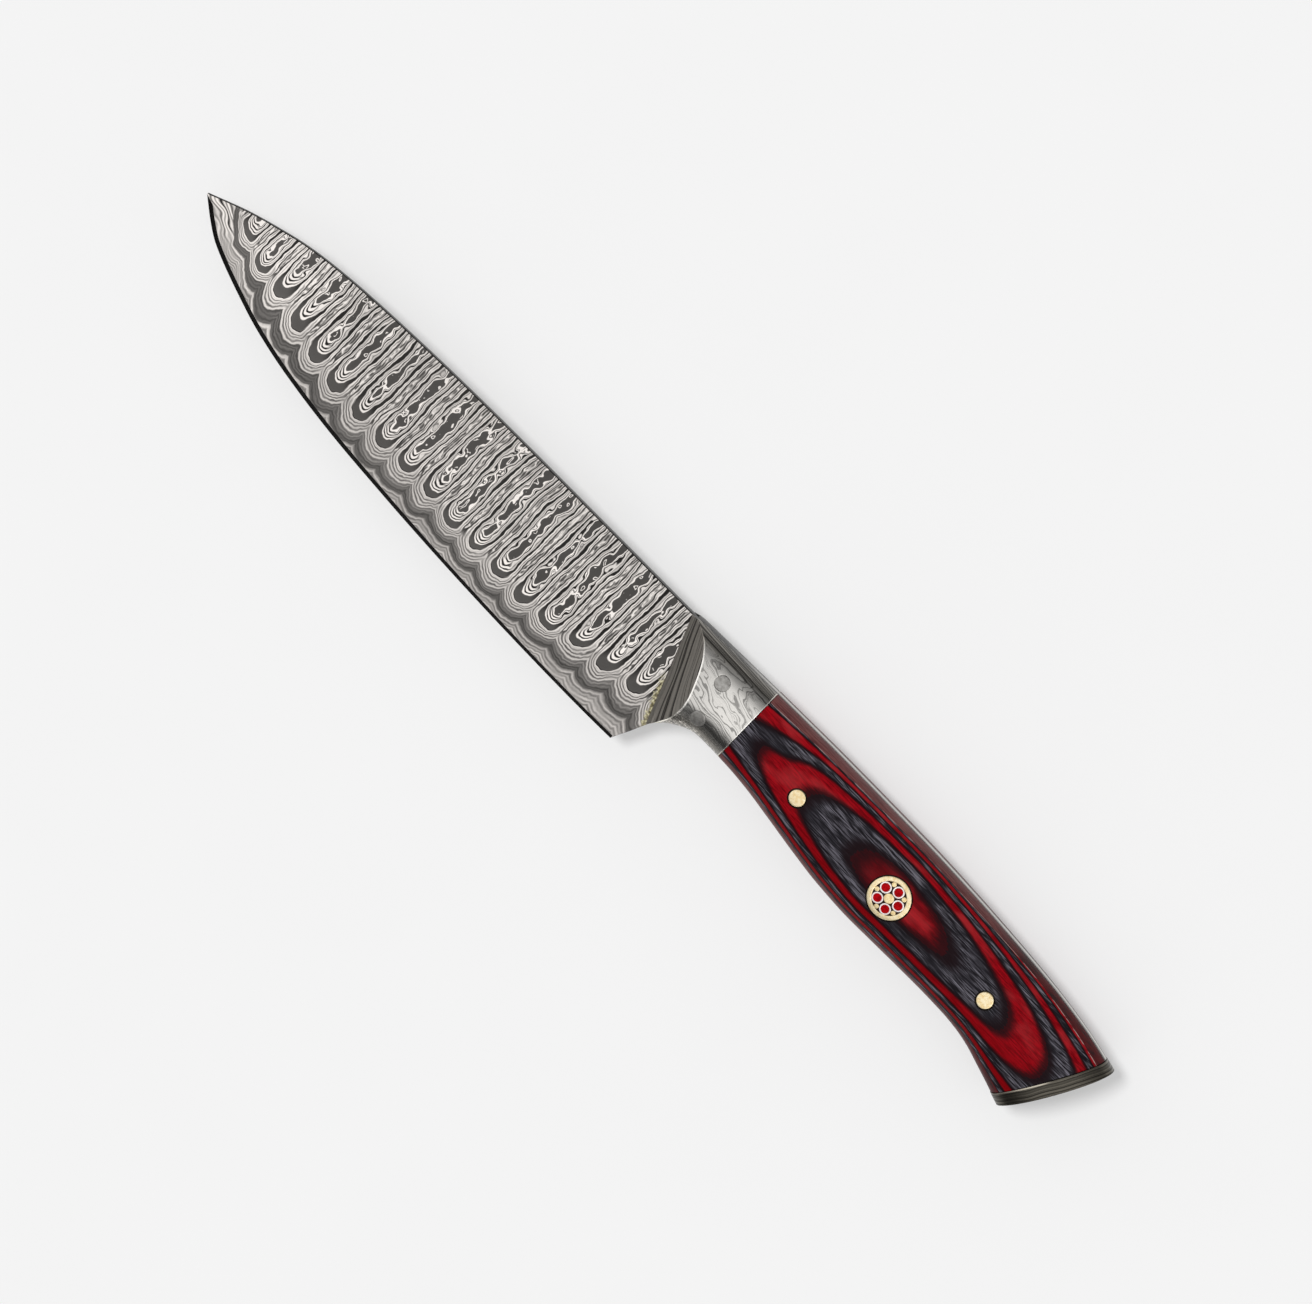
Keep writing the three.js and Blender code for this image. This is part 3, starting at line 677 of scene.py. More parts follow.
def bolster_steel():
    """Thin layers lying along the piece. The crown cuts them aslant and swirls; the
    flanks cut them straight."""
    T = Tree("layered_bolster")
    big = T.noise(T.vec(T.x / 6.0, (T.y + T.x * 0.2) / 2.6, T.z / 6.0), detail=1.0)
    small = T.noise(T.vec(T.x / 2.2, (T.y + T.x * 0.25) / 0.8, T.z / 1.6), detail=1.5)
    crown = T.smooth(T.abs(T.z), 4.8, 5.9)
    over = (T.abs(T.z) * 3.6 + (T.y + T.x * 0.12) * 1.25 + (big - 0.5) * 7.0 + (small - 0.5) * 1.3)
    down = T.y * 4.2 + (big - 0.5) * 0.8 + (small - 0.5) * 0.2
    f = T.lerp(crown, down, over)
    a = T.noise1(f, 1.0, 0.0)
    b = T.noise1(f + 40.0, 2.4, 0.0)
    s = T.noise(T.vec(T.x * 0.9, T.y * 6.0, T.z * 6.0), detail=2.0)
    line = T.smooth(a * 0.55 + b * 0.45, T.lerp(crown, 0.42, 0.37), T.lerp(crown, 0.60, 0.50))
    g = T.lerp(line, T.lerp(crown, linear(122), linear(166)), T.lerp(crown, linear(224), linear(241)))
    # painted shading: the crown is darker near the ramp and brighter towards the handle
    g = g * T.lerp(crown, 1.0, T.smooth(T.x, 148.0, 165.0, 0.74, 1.03))
    g = g * ((s - 0.5) * 0.2 + 1.0)
    # painted shade: the spine-side flank is darkened, standing in for the shadow it mirrors, with a darker line along
    # it
    g = g * T.smooth(T.y, 14.9, 14.1, 0.36, 0.8) * T.smooth(T.y, 13.4, 12.4, 0.8, 1.0)
    g = g * (1.0 - T.smooth(T.abs(T.y - 14.35), 0.24, 0.10) * 0.6)
    # painted shade: the edge side is darkened where it mirrors the dark horizon; below, painted reflection of the floor
    # lightens it, brightest in scattered nicks where it meets the tang
    g = g * T.smooth(T.y, 2.6, 0.9, 1.0, 0.40) * T.smooth(T.y, 0.3, -1.6, 1.0, 1.5)
    nick_glint = T.noise(T.vec(T.x * 2.6, T.y * 1.2, T.z * 1.0), detail=1.0)
    g = g * (1.0 + T.smooth(T.y, -1.4, -2.3) * T.smooth(nick_glint, 0.50, 0.58) * 1.2)
    # painted highlight along the front arc, standing in for light on its ridge; brighter round the rear rim too
    arc = T.table(T.y + 12.0, [(y_ + 12.0, x_) for y_, x_ in FRONT_ARC], 30.0, 165.0, 135.0)
    g = T.lerp(T.smooth(T.x - arc, 0.50, 0.22) * T.smooth(T.y, 14.6, 13.4), g, linear(252))
    rear = T.x - BOLSTER_REAR_X - T.y * BOLSTER_REAR_SLOPE
    g = T.lerp(T.smooth(rear, -0.34, -0.16) * 0.8, g, linear(244))
    col = T.mix(crown, from_grey(T, g, 1.9), from_grey(T, T.min(g, 0.97)))
    T.set(color=col, metal=1.0, rough=T.smooth(line, 0.0, 1.0, 0.28, 0.18))
    T.bump(line, 0.3, 0.00003, soft=0.00025)
    return T.mat


def ramp_steel():
    """The bolster's front ramp: the layers cut straight across, lines along the seam."""
    T = Tree("layered_ramp")
    d = seam_distance(T.x, T.y)
    along_ = T.y
    big = T.noise(T.vec(d / 3.0, along_ / 14.0, T.z / 9.0), detail=1.0)
    small = T.noise(T.vec(d / 1.2, along_ / 5.0, 2.0), detail=1.0)
    f = (d + (along_ - 5.0) * 0.035 * d + (big - 0.5) * 1.3 + (small - 0.5) * 0.22) / 0.62
    a = T.noise1(f, 1.0, 0.0)
    b = T.noise1(f + 30.0, 3.4, 1.0)
    s = T.noise(T.vec(T.x * 7.0, T.y * 1.2, 4.0), detail=2.0)
    line = T.smooth(a * 0.6 + b * 0.4, 0.36, 0.56)
    g = T.lerp(line, linear(72), linear(190)) * ((s - 0.5) * 0.4 + 1.0)
    T.set(color=from_grey(T, g, 1.9, 0.04), metal=1.0, rough=T.smooth(line, 0.0, 1.0, 0.5, 0.36))
    T.bump(line, 0.5, 0.00004, soft=0.00025)
    return T.mat


def cap_steel():
    """Butt plate: dark, with layers seen edge-on, running along the plate."""
    T = Tree("layered_cap")
    base = (T.x - T.y * CAP_SLOPE) / math.hypot(1, CAP_SLOPE)
    big = T.noise(T.vec(T.x / 6.0, T.y / 6.0, T.z / 6.0), detail=1.0)
    small = T.noise(T.vec(base * 1.5, T.y / 1.5, T.z / 1.5), detail=2.0)
    f = (base + (big - 0.5) * 0.7 + (small - 0.5) * 0.05) / 0.42
    a = T.noise1(f, 1.0, 0.0)
    b = T.noise1(f + 30.0, 3.0, 1.0)
    s = T.noise(T.vec(T.x * 5.0, T.y * 5.0, T.z * 5.0), detail=2.0)
    line = T.smooth(a * 0.55 + b * 0.45, 0.38, 0.60)
    n = T.nt.nodes.new("ShaderNodeCombineColor")
    g = T.lerp(line, linear(50), linear(94)) * ((s - 0.5) * 0.45 + 1.0)
    # painted glint: the rim next to the wood is coloured bright over part of its length
    painted_glint = T.smooth(base, CAP_BASE + 0.42, CAP_BASE + 0.18) * T.smooth(T.abs(T.y + 3.0), 6.5, 3.5)
    g = T.lerp(painted_glint, g, linear(200))
    T.put(g * 1.10, n.inputs[0]); T.put(g, n.inputs[1]); T.put(g * 0.82, n.inputs[2])
    T.set(color=S(T, n.outputs[0]), metal=1.0, rough=T.smooth(line, 0.0, 1.0, 0.42, 0.28))
    T.bump(line, 0.4, 0.00003, soft=0.00025)
    return T.mat


def pin_metal(name, light, dark, rough, tone_scale=1.2, metal=1.0):
    T = Tree(name)
    n = T.noise(T.vec(T.x * tone_scale, T.y * tone_scale, T.z * 0.5), detail=3.0, rough=0.6)
    s = T.noise(T.vec(T.x * 9.0, T.y * 9.0, 3.0), detail=2.0)
    T.set(color=T.mix(T.smooth(n * 0.8 + s * 0.2, 0.35, 0.62), dark, light), metal=metal,
          rough=T.smooth(s, 0.3, 0.7, rough - 0.06, rough + 0.08))
    T.bump(s, 0.25, 0.00003, soft=0.00012)
    return T.mat


def wood():
    """Dyed veneers, red and black by turns, glued flat; the crown cuts through them."""
    T = Tree("laminated_wood")
    az = T.abs(T.z)
    wave = T.noise(T.vec(T.x / 22.0, T.y / 9.0, 4.0), detail=1.0)
    ragged = T.noise(T.vec(T.x / 1.6, T.y / 0.5, 8.0), detail=2.0)
    # the stack of veneers lies a little aslant
    lean = T.min(T.y - 6.0, 0.0) * 0.045 * T.smooth(T.x, 226.0, 204.0)
    lean = lean + T.smooth(T.y, 8.0, 10.5) * T.smooth(T.x, 190.0, 172.0) * T.smooth(az, 6.3, 6.8) * 0.38
    h = az - 0.09 - lean + (wave - 0.5) * 0.24 + (ragged - 0.5) * 0.10
    q = (h - 4.05) / 0.85  # 0 at the face of the first veneer shown
    cell = T.math("FLOOR", q)
    odd = T.math("MODULO", cell + 20.0, 2.0)  # 0 red, 1 black
    f = q - cell
    near = T.min(f, 1.0 - f)
    # red is 4.05-4.9 and so on: the topmost boundaries are black over red by turns
    red_mask = 1.0 - odd
    fibre = T.noise(T.vec(T.x / 5.5, T.y * 3.4, T.z * 3.4), detail=3.0, rough=0.65)
    bend = T.noise(T.vec(T.x / 12.0, T.y / 6.0, 14.0), detail=1.0)
    streak = T.noise(T.vec(T.x / 6.0, T.y * 3.2 + bend * 2.4, T.z * 1.2 + 7.0), detail=2.0, rough=0.6)
    pore = T.noise(T.vec(T.x / 3.6, T.y * 6.0 + bend * 4.0, T.z * 2.0 + 3.0), detail=1.0)
    cloud = T.noise(T.vec(T.x / 9.0, T.y / 4.0, T.z / 4.0), detail=2.0)
    red = T.mix(T.smooth(fibre, 0.32, 0.68), rgb(96, 1, 8), rgb(152, 9, 21))
    # painted shade: the red deepens towards the edge side, away from the light
    red = T.mix(T.smooth(T.y, 3.5, -4.0) * 0.8, red, rgb(118, 0, 5))
    # painted highlight: lighter red patches on the upper side
    red = T.mix(T.smooth(cloud, 0.45, 0.70) * 0.4 * T.smooth(T.y, 2.0, 6.0), red, rgb(178, 52, 56))
    black = T.mix(T.smooth(streak * 0.5 + pore * 0.5, 0.44, 0.66), rgb(23, 21, 25), rgb(112, 109, 118))
    black = T.mix(T.smooth(cloud, 0.36, 0.52, 0.25, 1.0) * T.smooth(near, 0.05, 0.35, 0.3, 1.0), rgb(28, 26, 31), black)
    top = T.smooth(h, 9.1, 9.25)
    red = T.mix(top * T.max(T.smooth(cloud, 0.62, 0.40) * 0.6, T.smooth(T.x, 222.0, 214.0) * 0.7), red, rgb(66, 8, 14))
    col = T.mix(T.smooth(odd, 0.4, 0.6), red, black)
    # the dye bleeds over each glue line
    col = T.mix(T.smooth(near, 0.26, 0.04) * 0.9, col, rgb(24, 10, 14))
    # painted shade round each pin and the mosaic, standing in for the dark of the narrow gap
    for px, py, pr in ([x_, y_, HANDLE_PIN_R] for _, x_, y_ in HANDLE_PINS):
        dd = T.sqrt((T.x - px) * (T.x - px) + (T.y - py) * (T.y - py)) - pr
        col = T.mix(T.smooth(dd, 0.42, 0.22), col, rgb(20, 14, 12))
    dd = T.sqrt((T.x - MOSAIC_AT[0]) * (T.x - MOSAIC_AT[0]) + (T.y - MOSAIC_AT[1]) * (T.y - MOSAIC_AT[1])) - MOSAIC_R
    col = T.mix(T.smooth(dd, 0.45, 0.22), col, rgb(18, 12, 10))
    # the flanks beside the tang are cut so steeply that the veneers run together; their brown is partly painted sheen,
    # the red seen at a grazing angle
    flank = T.mix(T.smooth(fibre, 0.32, 0.68), rgb(78, 40, 42), rgb(116, 72, 70))
    butt = T.mix(T.smooth(cloud * 0.5 + streak * 0.5, 0.42, 0.56), rgb(30, 20, 22), rgb(74, 14, 18))
    flank = T.mix(T.smooth(T.x, 230.0, 252.0) * 0.85, flank, butt)
    upper = T.smooth(T.y, 5.0, 7.0)
    top_of = T.lerp(upper, 4.85, T.smooth(T.x, 222.0, 252.0, 5.42, 4.55)) + (wave - 0.5) * 0.3
    col = T.mix(T.smooth(az - top_of, 0.08, -0.12), col, flank)
    # painted glint: a thin light line where the flank meets the red, standing in for a black veneer catching the light
    glint = T.smooth(T.abs(az - top_of), 0.10, 0.03) * T.smooth(streak, 0.46, 0.58) * upper
    col = T.mix(glint * 0.8, col, rgb(176, 152, 148))
    T.set(color=col, metal=0.0, rough=T.smooth(fibre, 0.3, 0.7, 0.28, 0.40), spec=0.05)
    T.bump(fibre * 0.6 + pore * 0.4, 0.12, 0.00005, soft=0.00015)
    return T.mat


def enamel():
    T = Tree("red_filling")
    n = T.noise(T.vec(T.x * 1.4, T.y * 1.4, 2.0), detail=3.0)
    T.set(color=T.mix(T.smooth(n, 0.35, 0.65), rgb(140, 0, 6), rgb(182, 4, 14)), rough=0.3, spec=0.06)
    T.bump(n, 0.2, 0.00004)
    return T.mat


def resin_dark():
    T = Tree("dark_resin")
    n = T.noise(T.vec(T.x * 3.0, T.y * 3.0, 2.0), detail=3.0)
    T.set(color=T.mix(T.smooth(n, 0.35, 0.7), rgb(20, 14, 11), rgb(58, 40, 28)), rough=0.35, spec=0.1)
    T.bump(n, 0.3, 0.00004)
    return T.mat


MAT = {
    "face": blade_face(), "edge": edge_steel(), "spine": spine_steel(),
    "bolster": bolster_steel(), "ramp": ramp_steel(), "cap": cap_steel(),
    "pin": pin_metal("peened_pin", rgb(182, 180, 176), rgb(150, 147, 143), 0.42),
    "brass": pin_metal("brass", rgb(255, 240, 202), rgb(240, 212, 156), 0.40, 1.2, 0.6),
    "core": pin_metal("brass_core", rgb(255, 238, 190), rgb(238, 206, 146), 0.40, 1.6, 0.6),
    "tube": pin_metal("mosaic_tube_steel", rgb(255, 252, 250), rgb(250, 232, 228), 0.36, 2.0, 0.45),
    "enamel": enamel(), "resin": resin_dark(), "wood": wood(),
}


# --------------------------------------------------------------------- geometry
def ring_angles(count):
    """Angles that space a middle section's points evenly."""
    t = np.linspace(0, 2 * np.pi, 7201)
    y, z = ring_points(217.0, t)
    s = np.concatenate([[0], np.cumsum(np.hypot(np.diff(y), np.diff(z)))])
    return np.interp(np.linspace(0, s[-1], count + 1)[:-1], s, t)


def ring_points(x, t, grow=0.0):
    c, s = np.cos(t), np.sin(t)
    p = np.where(c >= 0, top_power(x), bottom_power(x))
    yt, yb = grip_top(x) + grow, grip_bottom(x) - grow
    yr, a = grip_ridge(x), grip_crown(x) + grow
    reach = np.where(c >= 0, yt - yr, yr - yb)
    return (yr + np.sign(c) * reach * np.abs(c) ** (2 / p), np.sign(s) * a * np.abs(s) ** (2 / p))


ANGLES = ring_angles(144)


def envelope(x0, x1, step, grow=0.0):
    n = int(math.ceil((x1 - x0) / step))
    stations = []
    for i in range(n + 1):
        x = x0 + (x1 - x0) * i / n
        y, z = ring_points(x, ANGLES, grow)
        stations.append((x, list(zip(y[::1], z[::1]))))
    return loft(stations)


seam_len = math.hypot(SEAM_END[0] - SEAM_START[0], SEAM_END[1] - SEAM_START[1])
SEAM_N = (-(SEAM_END[1] - SEAM_START[1]) / seam_len, (SEAM_END[0] - SEAM_START[0]) / seam_len)


def seam_point(d):
    return (SEAM_START[0] + SEAM_N[0] * d, SEAM_START[1] + SEAM_N[1] * d, 0)


def wedge():
    """The ground blade, with its bevels, a slightly eased spine and the heel."""
    r = 0.22
    turn = [math.radians(a) for a in (0, 30, 60, 90)]
    xs = [0.0, 0.12, 0.3, 0.55]
    while xs[-1] < 12:
        xs.append(xs[-1] + 0.3 + xs[-1] * 0.03)
    n = int((HEEL_X - xs[-1]) / 0.75)
    xs += list(np.linspace(xs[-1], HEEL_X, n + 1)[1:])
    stations = []

    def ring(x, yb, ze, ys, yt):
        zs, zt = face_z(x, ys), face_z(x, yt)
        rr = min(r, zt * 0.8, (yt - ys) * 0.4)
        top = [(yt - rr + rr * math.sin(a), zt - rr + rr * math.cos(a)) for a in turn]
        left = [(yb, ze), (ys, zs)] + top
        right = [(y, -z) for y, z in reversed(left)]
        return list(reversed(right[-1:] + left + right[:-1]))

    for x in xs:
        yt, yb = float(spine_y(x)), float(edge_y(x))
        slope = float(edge_y(x + 0.2) - edge_y(max(0, x - 0.2))) / 0.4
        width = BEVEL_WIDTH * (1.75 - 0.55 * min(1, x / 120))
        rise = min(width * math.hypot(1, min(0, slope)), (yt - yb) * 0.4)
        stations.append((x, ring(x, yb, EDGE_LAND, yb + rise, yt)))
    for x in list(np.linspace(149.16, 153.2, 12)) + list(np.linspace(153.6, 157, 8)):
        yt, yb = float(spine_y(x)), float(heel_y(x))
        zb = face_z(x, yb)
        stations.append((x, ring(x, yb, zb - 0.08, yb + 0.12, yt)))
    return loft(stations)


env = envelope(138.2, 281.5, 1.1)

# tang, with the blade
tang = cut(env, (0, 0, TANG_HALF), (0, 0, 1))
tang = cut(tang, (0, 0, -TANG_HALF), (0, 0, -1))
tang = cut(tang, seam_point(TANG_STEP), (-SEAM_N[0], -SEAM_N[1], 0))
cap_len = math.hypot(1, CAP_SLOPE)
tang = cut(tang, (CAP_FRONT_X - JOINT_GAP * cap_len, 0, 0), (1, -CAP_SLOPE, 0))
blade = boolean(wedge(), tang, "UNION")
drills = [bar(x, y, BOLSTER_PIN_R + PIN_GAP, 48) for _, x, y in BOLSTER_PINS]
drills += [bar(x, y, HANDLE_PIN_R + PIN_GAP, 48) for _, x, y in HANDLE_PINS]
drills += [bar(MOSAIC_AT[0], MOSAIC_AT[1], MOSAIC_R + PIN_GAP, 72)]
blade = boolean(blade, joined(drills), "DIFFERENCE")

# half bolster
b = cut(envelope(138.2, 172.0, 0.5), (0, 0, 0.3), (0, 0, -1))
ramp_n = Vector((-FACE_PER_X - RAMP_SLOPE * SEAM_N[0], -FACE_PER_Y - RAMP_SLOPE * SEAM_N[1], 1))
ramp_at = (SEAM_START[0], SEAM_START[1], face_z(*SEAM_START) + RAMP_LIP)
b = cut(b, ramp_at, ramp_n)
b = cut(b, seam_point(0), (-SEAM_N[0], -SEAM_N[1], 0))
b = cut(b, (BOLSTER_REAR_X - JOINT_GAP / 2, 0, 0), (1, -BOLSTER_REAR_SLOPE, 0))


def room_under_face():
    xs, ys = (135.0, 175.0), (-30.0, 30.0)
    corner = [(x, y) for x in xs for y in ys]
    verts = [(x, y, -5.0) for x, y in corner] + [(x, y, face_z(x, y) + JOINT_GAP) for x, y in corner]
    me = mesh_of(verts, [(0, 1, 3, 2), (4, 6, 7, 5), (0, 4, 5, 1), (2, 3, 7, 6), (0, 2, 6, 4), (1, 5, 7, 3)])
    bm = bmesh.new(); bm.from_mesh(me)
    bmesh.ops.recalc_face_normals(bm, faces=bm.faces[:])
    bm.to_mesh(me); bm.free()
    return me


def seam_at(t, d):
    a = ((SEAM_END[0] - SEAM_START[0]) / seam_len, (SEAM_END[1] - SEAM_START[1]) / seam_len)
    return (SEAM_START[0] + a[0] * t + SEAM_N[0] * d, SEAM_START[1] + a[1] * t + SEAM_N[1] * d)


room = prism([seam_at(60, TANG_STEP - JOINT_GAP), seam_at(60, 80), seam_at(-40, 80),
              seam_at(-40, TANG_STEP - JOINT_GAP)], -6.0, TANG_HALF + JOINT_GAP)
b = boolean(b, room_under_face(), "DIFFERENCE")
b = boolean(b, room, "DIFFERENCE")
b = boolean(b, joined([bar(x, y, BOLSTER_PIN_R + 0.03, 64) for _, x, y in BOLSTER_PINS]), "DIFFERENCE")
bolster = b

# scale
s = cut(env, (0, 0, TANG_HALF + JOINT_GAP), (0, 0, -1))
s = cut(s, (BOLSTER_REAR_X + JOINT_GAP / 2, 0, 0), (-1, BOLSTER_REAR_SLOPE, 0))
s = cut(s, (CAP_FRONT_X - JOINT_GAP * cap_len, 0, 0), (1, -CAP_SLOPE, 0))
s = boolean(s, joined([bar(x, y, HANDLE_PIN_R + PIN_GAP, 64) for _, x, y in HANDLE_PINS]
                      + [bar(MOSAIC_AT[0], MOSAIC_AT[1], MOSAIC_R + PIN_GAP, 96)]), "DIFFERENCE")
scale = s

# butt plate
c = cut(envelope(258.0, 281.9, 0.8, CAP_PROUD), (CAP_FRONT_X, 0, 0), (-1, CAP_SLOPE, 0))
along, out = (CAP_SLOPE / cap_len, 1 / cap_len), (1 / cap_len, -CAP_SLOPE / cap_len)


def cap_at(t, o):
    return (CAP_FRONT_X + along[0] * t + out[0] * o, along[1] * t + out[1] * o)


outline = [cap_at(-30, -3)]
for t in np.linspace(-30, 30, 81):
    q = (t - 1.5) / 14
    outline.append(cap_at(t, CAP_THICKNESS + CAP_DOME * (1 - q * q)))
outline.append(cap_at(30, -3))
cap = boolean(c, prism(outline, -40, 40), "INTERSECT")


# blade: bevel faces, spine faces and flats each get their own steel
def split_blade(me):
    co, fn, fc, lv, start, total = arrays(me)
    x, y, z = fc.T
    idx = np.zeros(len(fc), np.int32)
    in_blade = seam_distance(x, y) < TANG_STEP + 0.05
    bevel = in_blade & (x < HEEL_X + 0.02) & (y < edge_y(x) + BEVEL_WIDTH * 3.0) & (
        (np.abs(z) < face_z(x, y) - 1e-3) | (np.abs(fn[:, 2]) < 0.5))
    idx[bevel] = 1
    # steeper than the flat grind: the spine, the heel and the tang's rim
    side = (np.abs(fn[:, 2]) < 0.97) & ~bevel
    idx[side] = 2
    me.polygons.foreach_set("material_index", idx)
    me.polygons.foreach_set("use_smooth", np.ones(len(fc), bool))
    me.set_sharp_from_angle(angle=math.radians(28))


def hand_over(me, name, node, materials, index=None):
    """As finish_piece, keeping each face's material number."""
    idx = np.zeros(len(me.polygons), np.int32)
    me.polygons.foreach_get("material_index", idx)
    o = finish_piece(me, name, node, materials)
    o.data.polygons.foreach_set("material_index", idx)
    return o


split_blade(blade)
hand_over(blade, "blade_steel", "blade", [MAT["face"], MAT["edge"], MAT["spine"]])

for side, me in (("left", bolster), ("right", mirrored(bolster))):
    crown_normals(me)
    _, fn, *_ = arrays(me)
    want = np.array(ramp_n.normalized()) * np.array([1, 1, 1 if side == "left" else -1])
    me.polygons.foreach_set("material_index", ((fn @ want) > 0.9999).astype(np.int32))
    hand_over(me, "bolster_" + side + "_steel", "bolster_" + side, [MAT["bolster"], MAT["ramp"]])
for side, me in (("left", scale), ("right", mirrored(scale))):
    crown_normals(me)
    me.polygons.foreach_set("material_index", np.zeros(len(me.polygons), np.int32))
    hand_over(me, "scale_" + side + "_wood", "scale_" + side, [MAT["wood"]])
crown_normals(cap, CAP_PROUD)
cap.polygons.foreach_set("material_index", np.zeros(len(cap.polygons), np.int32))
hand_over(cap, "end_cap_steel", "end_cap", [MAT["cap"]])


def plug(cx, cy, r, bore=0.0, rise=0.0, dome=0.0, ease=0.05, count=72):
    """A pin or a tube through the grip, its ends following the crown."""
    th = np.arange(count) * 2 * np.pi / count
    radii = [r, r - ease * 0.3, r - ease]
    if bore:
        radii += list(np.linspace(r - ease, bore + ease * 0.6, 5)[1:]) + [bore]
        inner = bore
    else:
        radii += list(np.linspace(r - ease, 0, 9)[1:-1])
    verts, faces = [], []

    def height(x, y, rad, i):
        z = crown_z(x, y) + rise
        if bore:
            half = (r - bore) / 2
            z = z + dome * (1 - ((rad - (r + bore) / 2) / half) ** 2)
            if i == len(radii) - 1:
                z = z - ease * 0.6
        else:
            z = z + dome * (1 - (rad / r) ** 2)
        if i == 0:
            z = z - ease
        elif i == 1:
            z = z - ease * 0.3
        return z

    for sign in (1, -1):
        for i, rad in enumerate(radii):
            x, y = cx + rad * np.cos(th), cy + rad * np.sin(th)
            z = height(x, y, rad, i)
            verts += list(zip(x, y, sign * z))
        if not bore:
            z = float(crown_z(cx, cy)) + rise + dome
            verts.append((cx, cy, sign * z))
    rows = len(radii)
    half_count = rows * count + (0 if bore else 1)
    for s_, base in enumerate((0, half_count)):
        for i in range(rows - 1):
            for j in range(count):
                k = (j + 1) % count
                f = (base + i * count + j, base + i * count + k,
                     base + (i + 1) * count + k, base + (i + 1) * count + j)
                faces.append(f)
        if not bore:
            tip = base + rows * count
            for j in range(count):
                faces.append((base + (rows - 1) * count + j, base + (rows - 1) * count + (j + 1) % count, tip))
    for j in range(count):
        k = (j + 1) % count
        faces.append((j, k, half_count + k, half_count + j))
        if bore:
            a = (rows - 1) * count
            faces.append((a + j, a + k, half_count + a + k, half_count + a + j))
    me = mesh_of(verts, faces)
    bm = bmesh.new()
    bm.from_mesh(me)
    bmesh.ops.recalc_face_normals(bm, faces=bm.faces[:])
    bm.to_mesh(me)
    bm.free()
    me.polygons.foreach_set("use_smooth", np.ones(len(me.polygons), bool))
    me.set_sharp_from_angle(angle=math.radians(50))
    return me


for node, x, y in BOLSTER_PINS:
    finish_piece(plug(x, y, BOLSTER_PIN_R, rise=-0.005, dome=0.0), node + "_steel", node, [MAT["pin"]])
for node, x, y in HANDLE_PINS:
    finish_piece(plug(x, y, HANDLE_PIN_R - 0.06, rise=-0.01, dome=0.05, ease=0.09), node + "_brass", node, [MAT["brass"]])


def around(k, radius, turn):
    t = math.radians(turn + 72 * k)
    return MOSAIC_AT[0] + radius * math.cos(t), MOSAIC_AT[1] + radius * math.sin(t)


finish_piece(plug(*MOSAIC_AT, MOSAIC_R, bore=MOSAIC_BORE - 0.08, dome=0.03, ease=0.08, count=96),
             "mosaic_tube_brass", "mosaic_tube", [MAT["brass"]])
holes = [bar(*MOSAIC_AT, MOSAIC_CORE_R + 0.14, 48)]
for k in range(5):
    x, y = around(k, MOSAIC_TUBE_RING, MOSAIC_TURN)
    n = str(k + 1)
    finish_piece(plug(x, y, MOSAIC_TUBE_R, bore=MOSAIC_TUBE_BORE - 0.03, dome=0.03, ease=0.03, count=64),
                 "mosaic_steel_tube_" + n + "_ring", "mosaic_steel_tube_" + n, [MAT["tube"]])
    finish_piece(plug(x, y, MOSAIC_TUBE_BORE - 0.04, rise=-0.03, dome=-0.03, ease=0.02, count=48),
                 "mosaic_enamel_rod_" + n + "_fill", "mosaic_enamel_rod_" + n, [MAT["enamel"]])
    holes.append(bar(x, y, MOSAIC_TUBE_R + 0.02, 48))
    x, y = around(k, MOSAIC_ROD_RING - 0.08, MOSAIC_TURN + 36)
    finish_piece(plug(x, y, MOSAIC_ROD_R + 0.06, dome=0.03, ease=0.04, count=36),
                 "mosaic_brass_rod_" + n + "_wire", "mosaic_brass_rod_" + n, [MAT["core"]])
    holes.append(bar(x, y, MOSAIC_ROD_R + 0.07, 36))
finish_piece(plug(*MOSAIC_AT, MOSAIC_CORE_R + 0.12, dome=0.03, ease=0.04, count=48),
             "mosaic_core_rod_brass", "mosaic_core_rod", [MAT["core"]])
resin = boolean(plug(*MOSAIC_AT, MOSAIC_BORE - 0.09, rise=-0.1, ease=0.02, count=96), joined(holes), "DIFFERENCE")
finish_piece(resin, "mosaic_resin_cast", "mosaic_resin", [MAT["resin"]])

# ------------------------------------------------------------------------ stage
floor_mesh = mesh_of([(-4, -4, -1e-4), (4, -4, -1e-4), (4, 4, -1e-4), (-4, 4, -1e-4)], [(0, 1, 2, 3)], "floor")
floor = bpy.data.objects.new("floor", floor_mesh)
bpy.context.scene.collection.objects.link(floor)
FT = Tree("floor_paper")
fn_ = FT.noise(FT.vec(FT.x / 40.0, FT.y / 40.0, 1.0), detail=2.0)
FT.set(color=FT.mix(FT.smooth(fn_, 0.3, 0.7), (0.599, 0.599, 0.599, 1), (0.603, 0.603, 0.603, 1)), rough=0.95, spec=0.0)
# a faintly lit table, so shadows stay light
FT.bsdf.inputs["Emission Color"].default_value = (1, 1, 1, 1)
FT.bsdf.inputs["Emission Strength"].default_value = 0.315
floor_mesh.materials.append(FT.mat)

tilt = math.radians(14)


def row(x, y, z):
    return (Vector((x, y, z)) + SHIFT) / 1000


W = Vector((0, math.cos(tilt), -math.sin(tilt)))
RIGHT = Vector((0.6853, 0, 0)) + 0.7283 * W
UP = Vector((-0.7283, 0, 0)) + 0.6853 * W
BACK = Vector((0, math.sin(tilt), math.cos(tilt)))
TARGET = row(142.2, 2.67, 0)
cam_data = bpy.data.cameras.new("camera")
cam = bpy.data.objects.new("camera", cam_data)
bpy.context.scene.collection.objects.link(cam)
m = Matrix((RIGHT, UP, BACK)).transposed().to_4x4()
m.translation = TARGET + BACK * 1.4
cam.matrix_world = m
cam_data.sensor_width = 36
cam_data.sensor_fit = "HORIZONTAL"
cam_data.lens = 173.25
cam_data.clip_start, cam_data.clip_end = 0.05, 50
bpy.context.scene.camera = cam


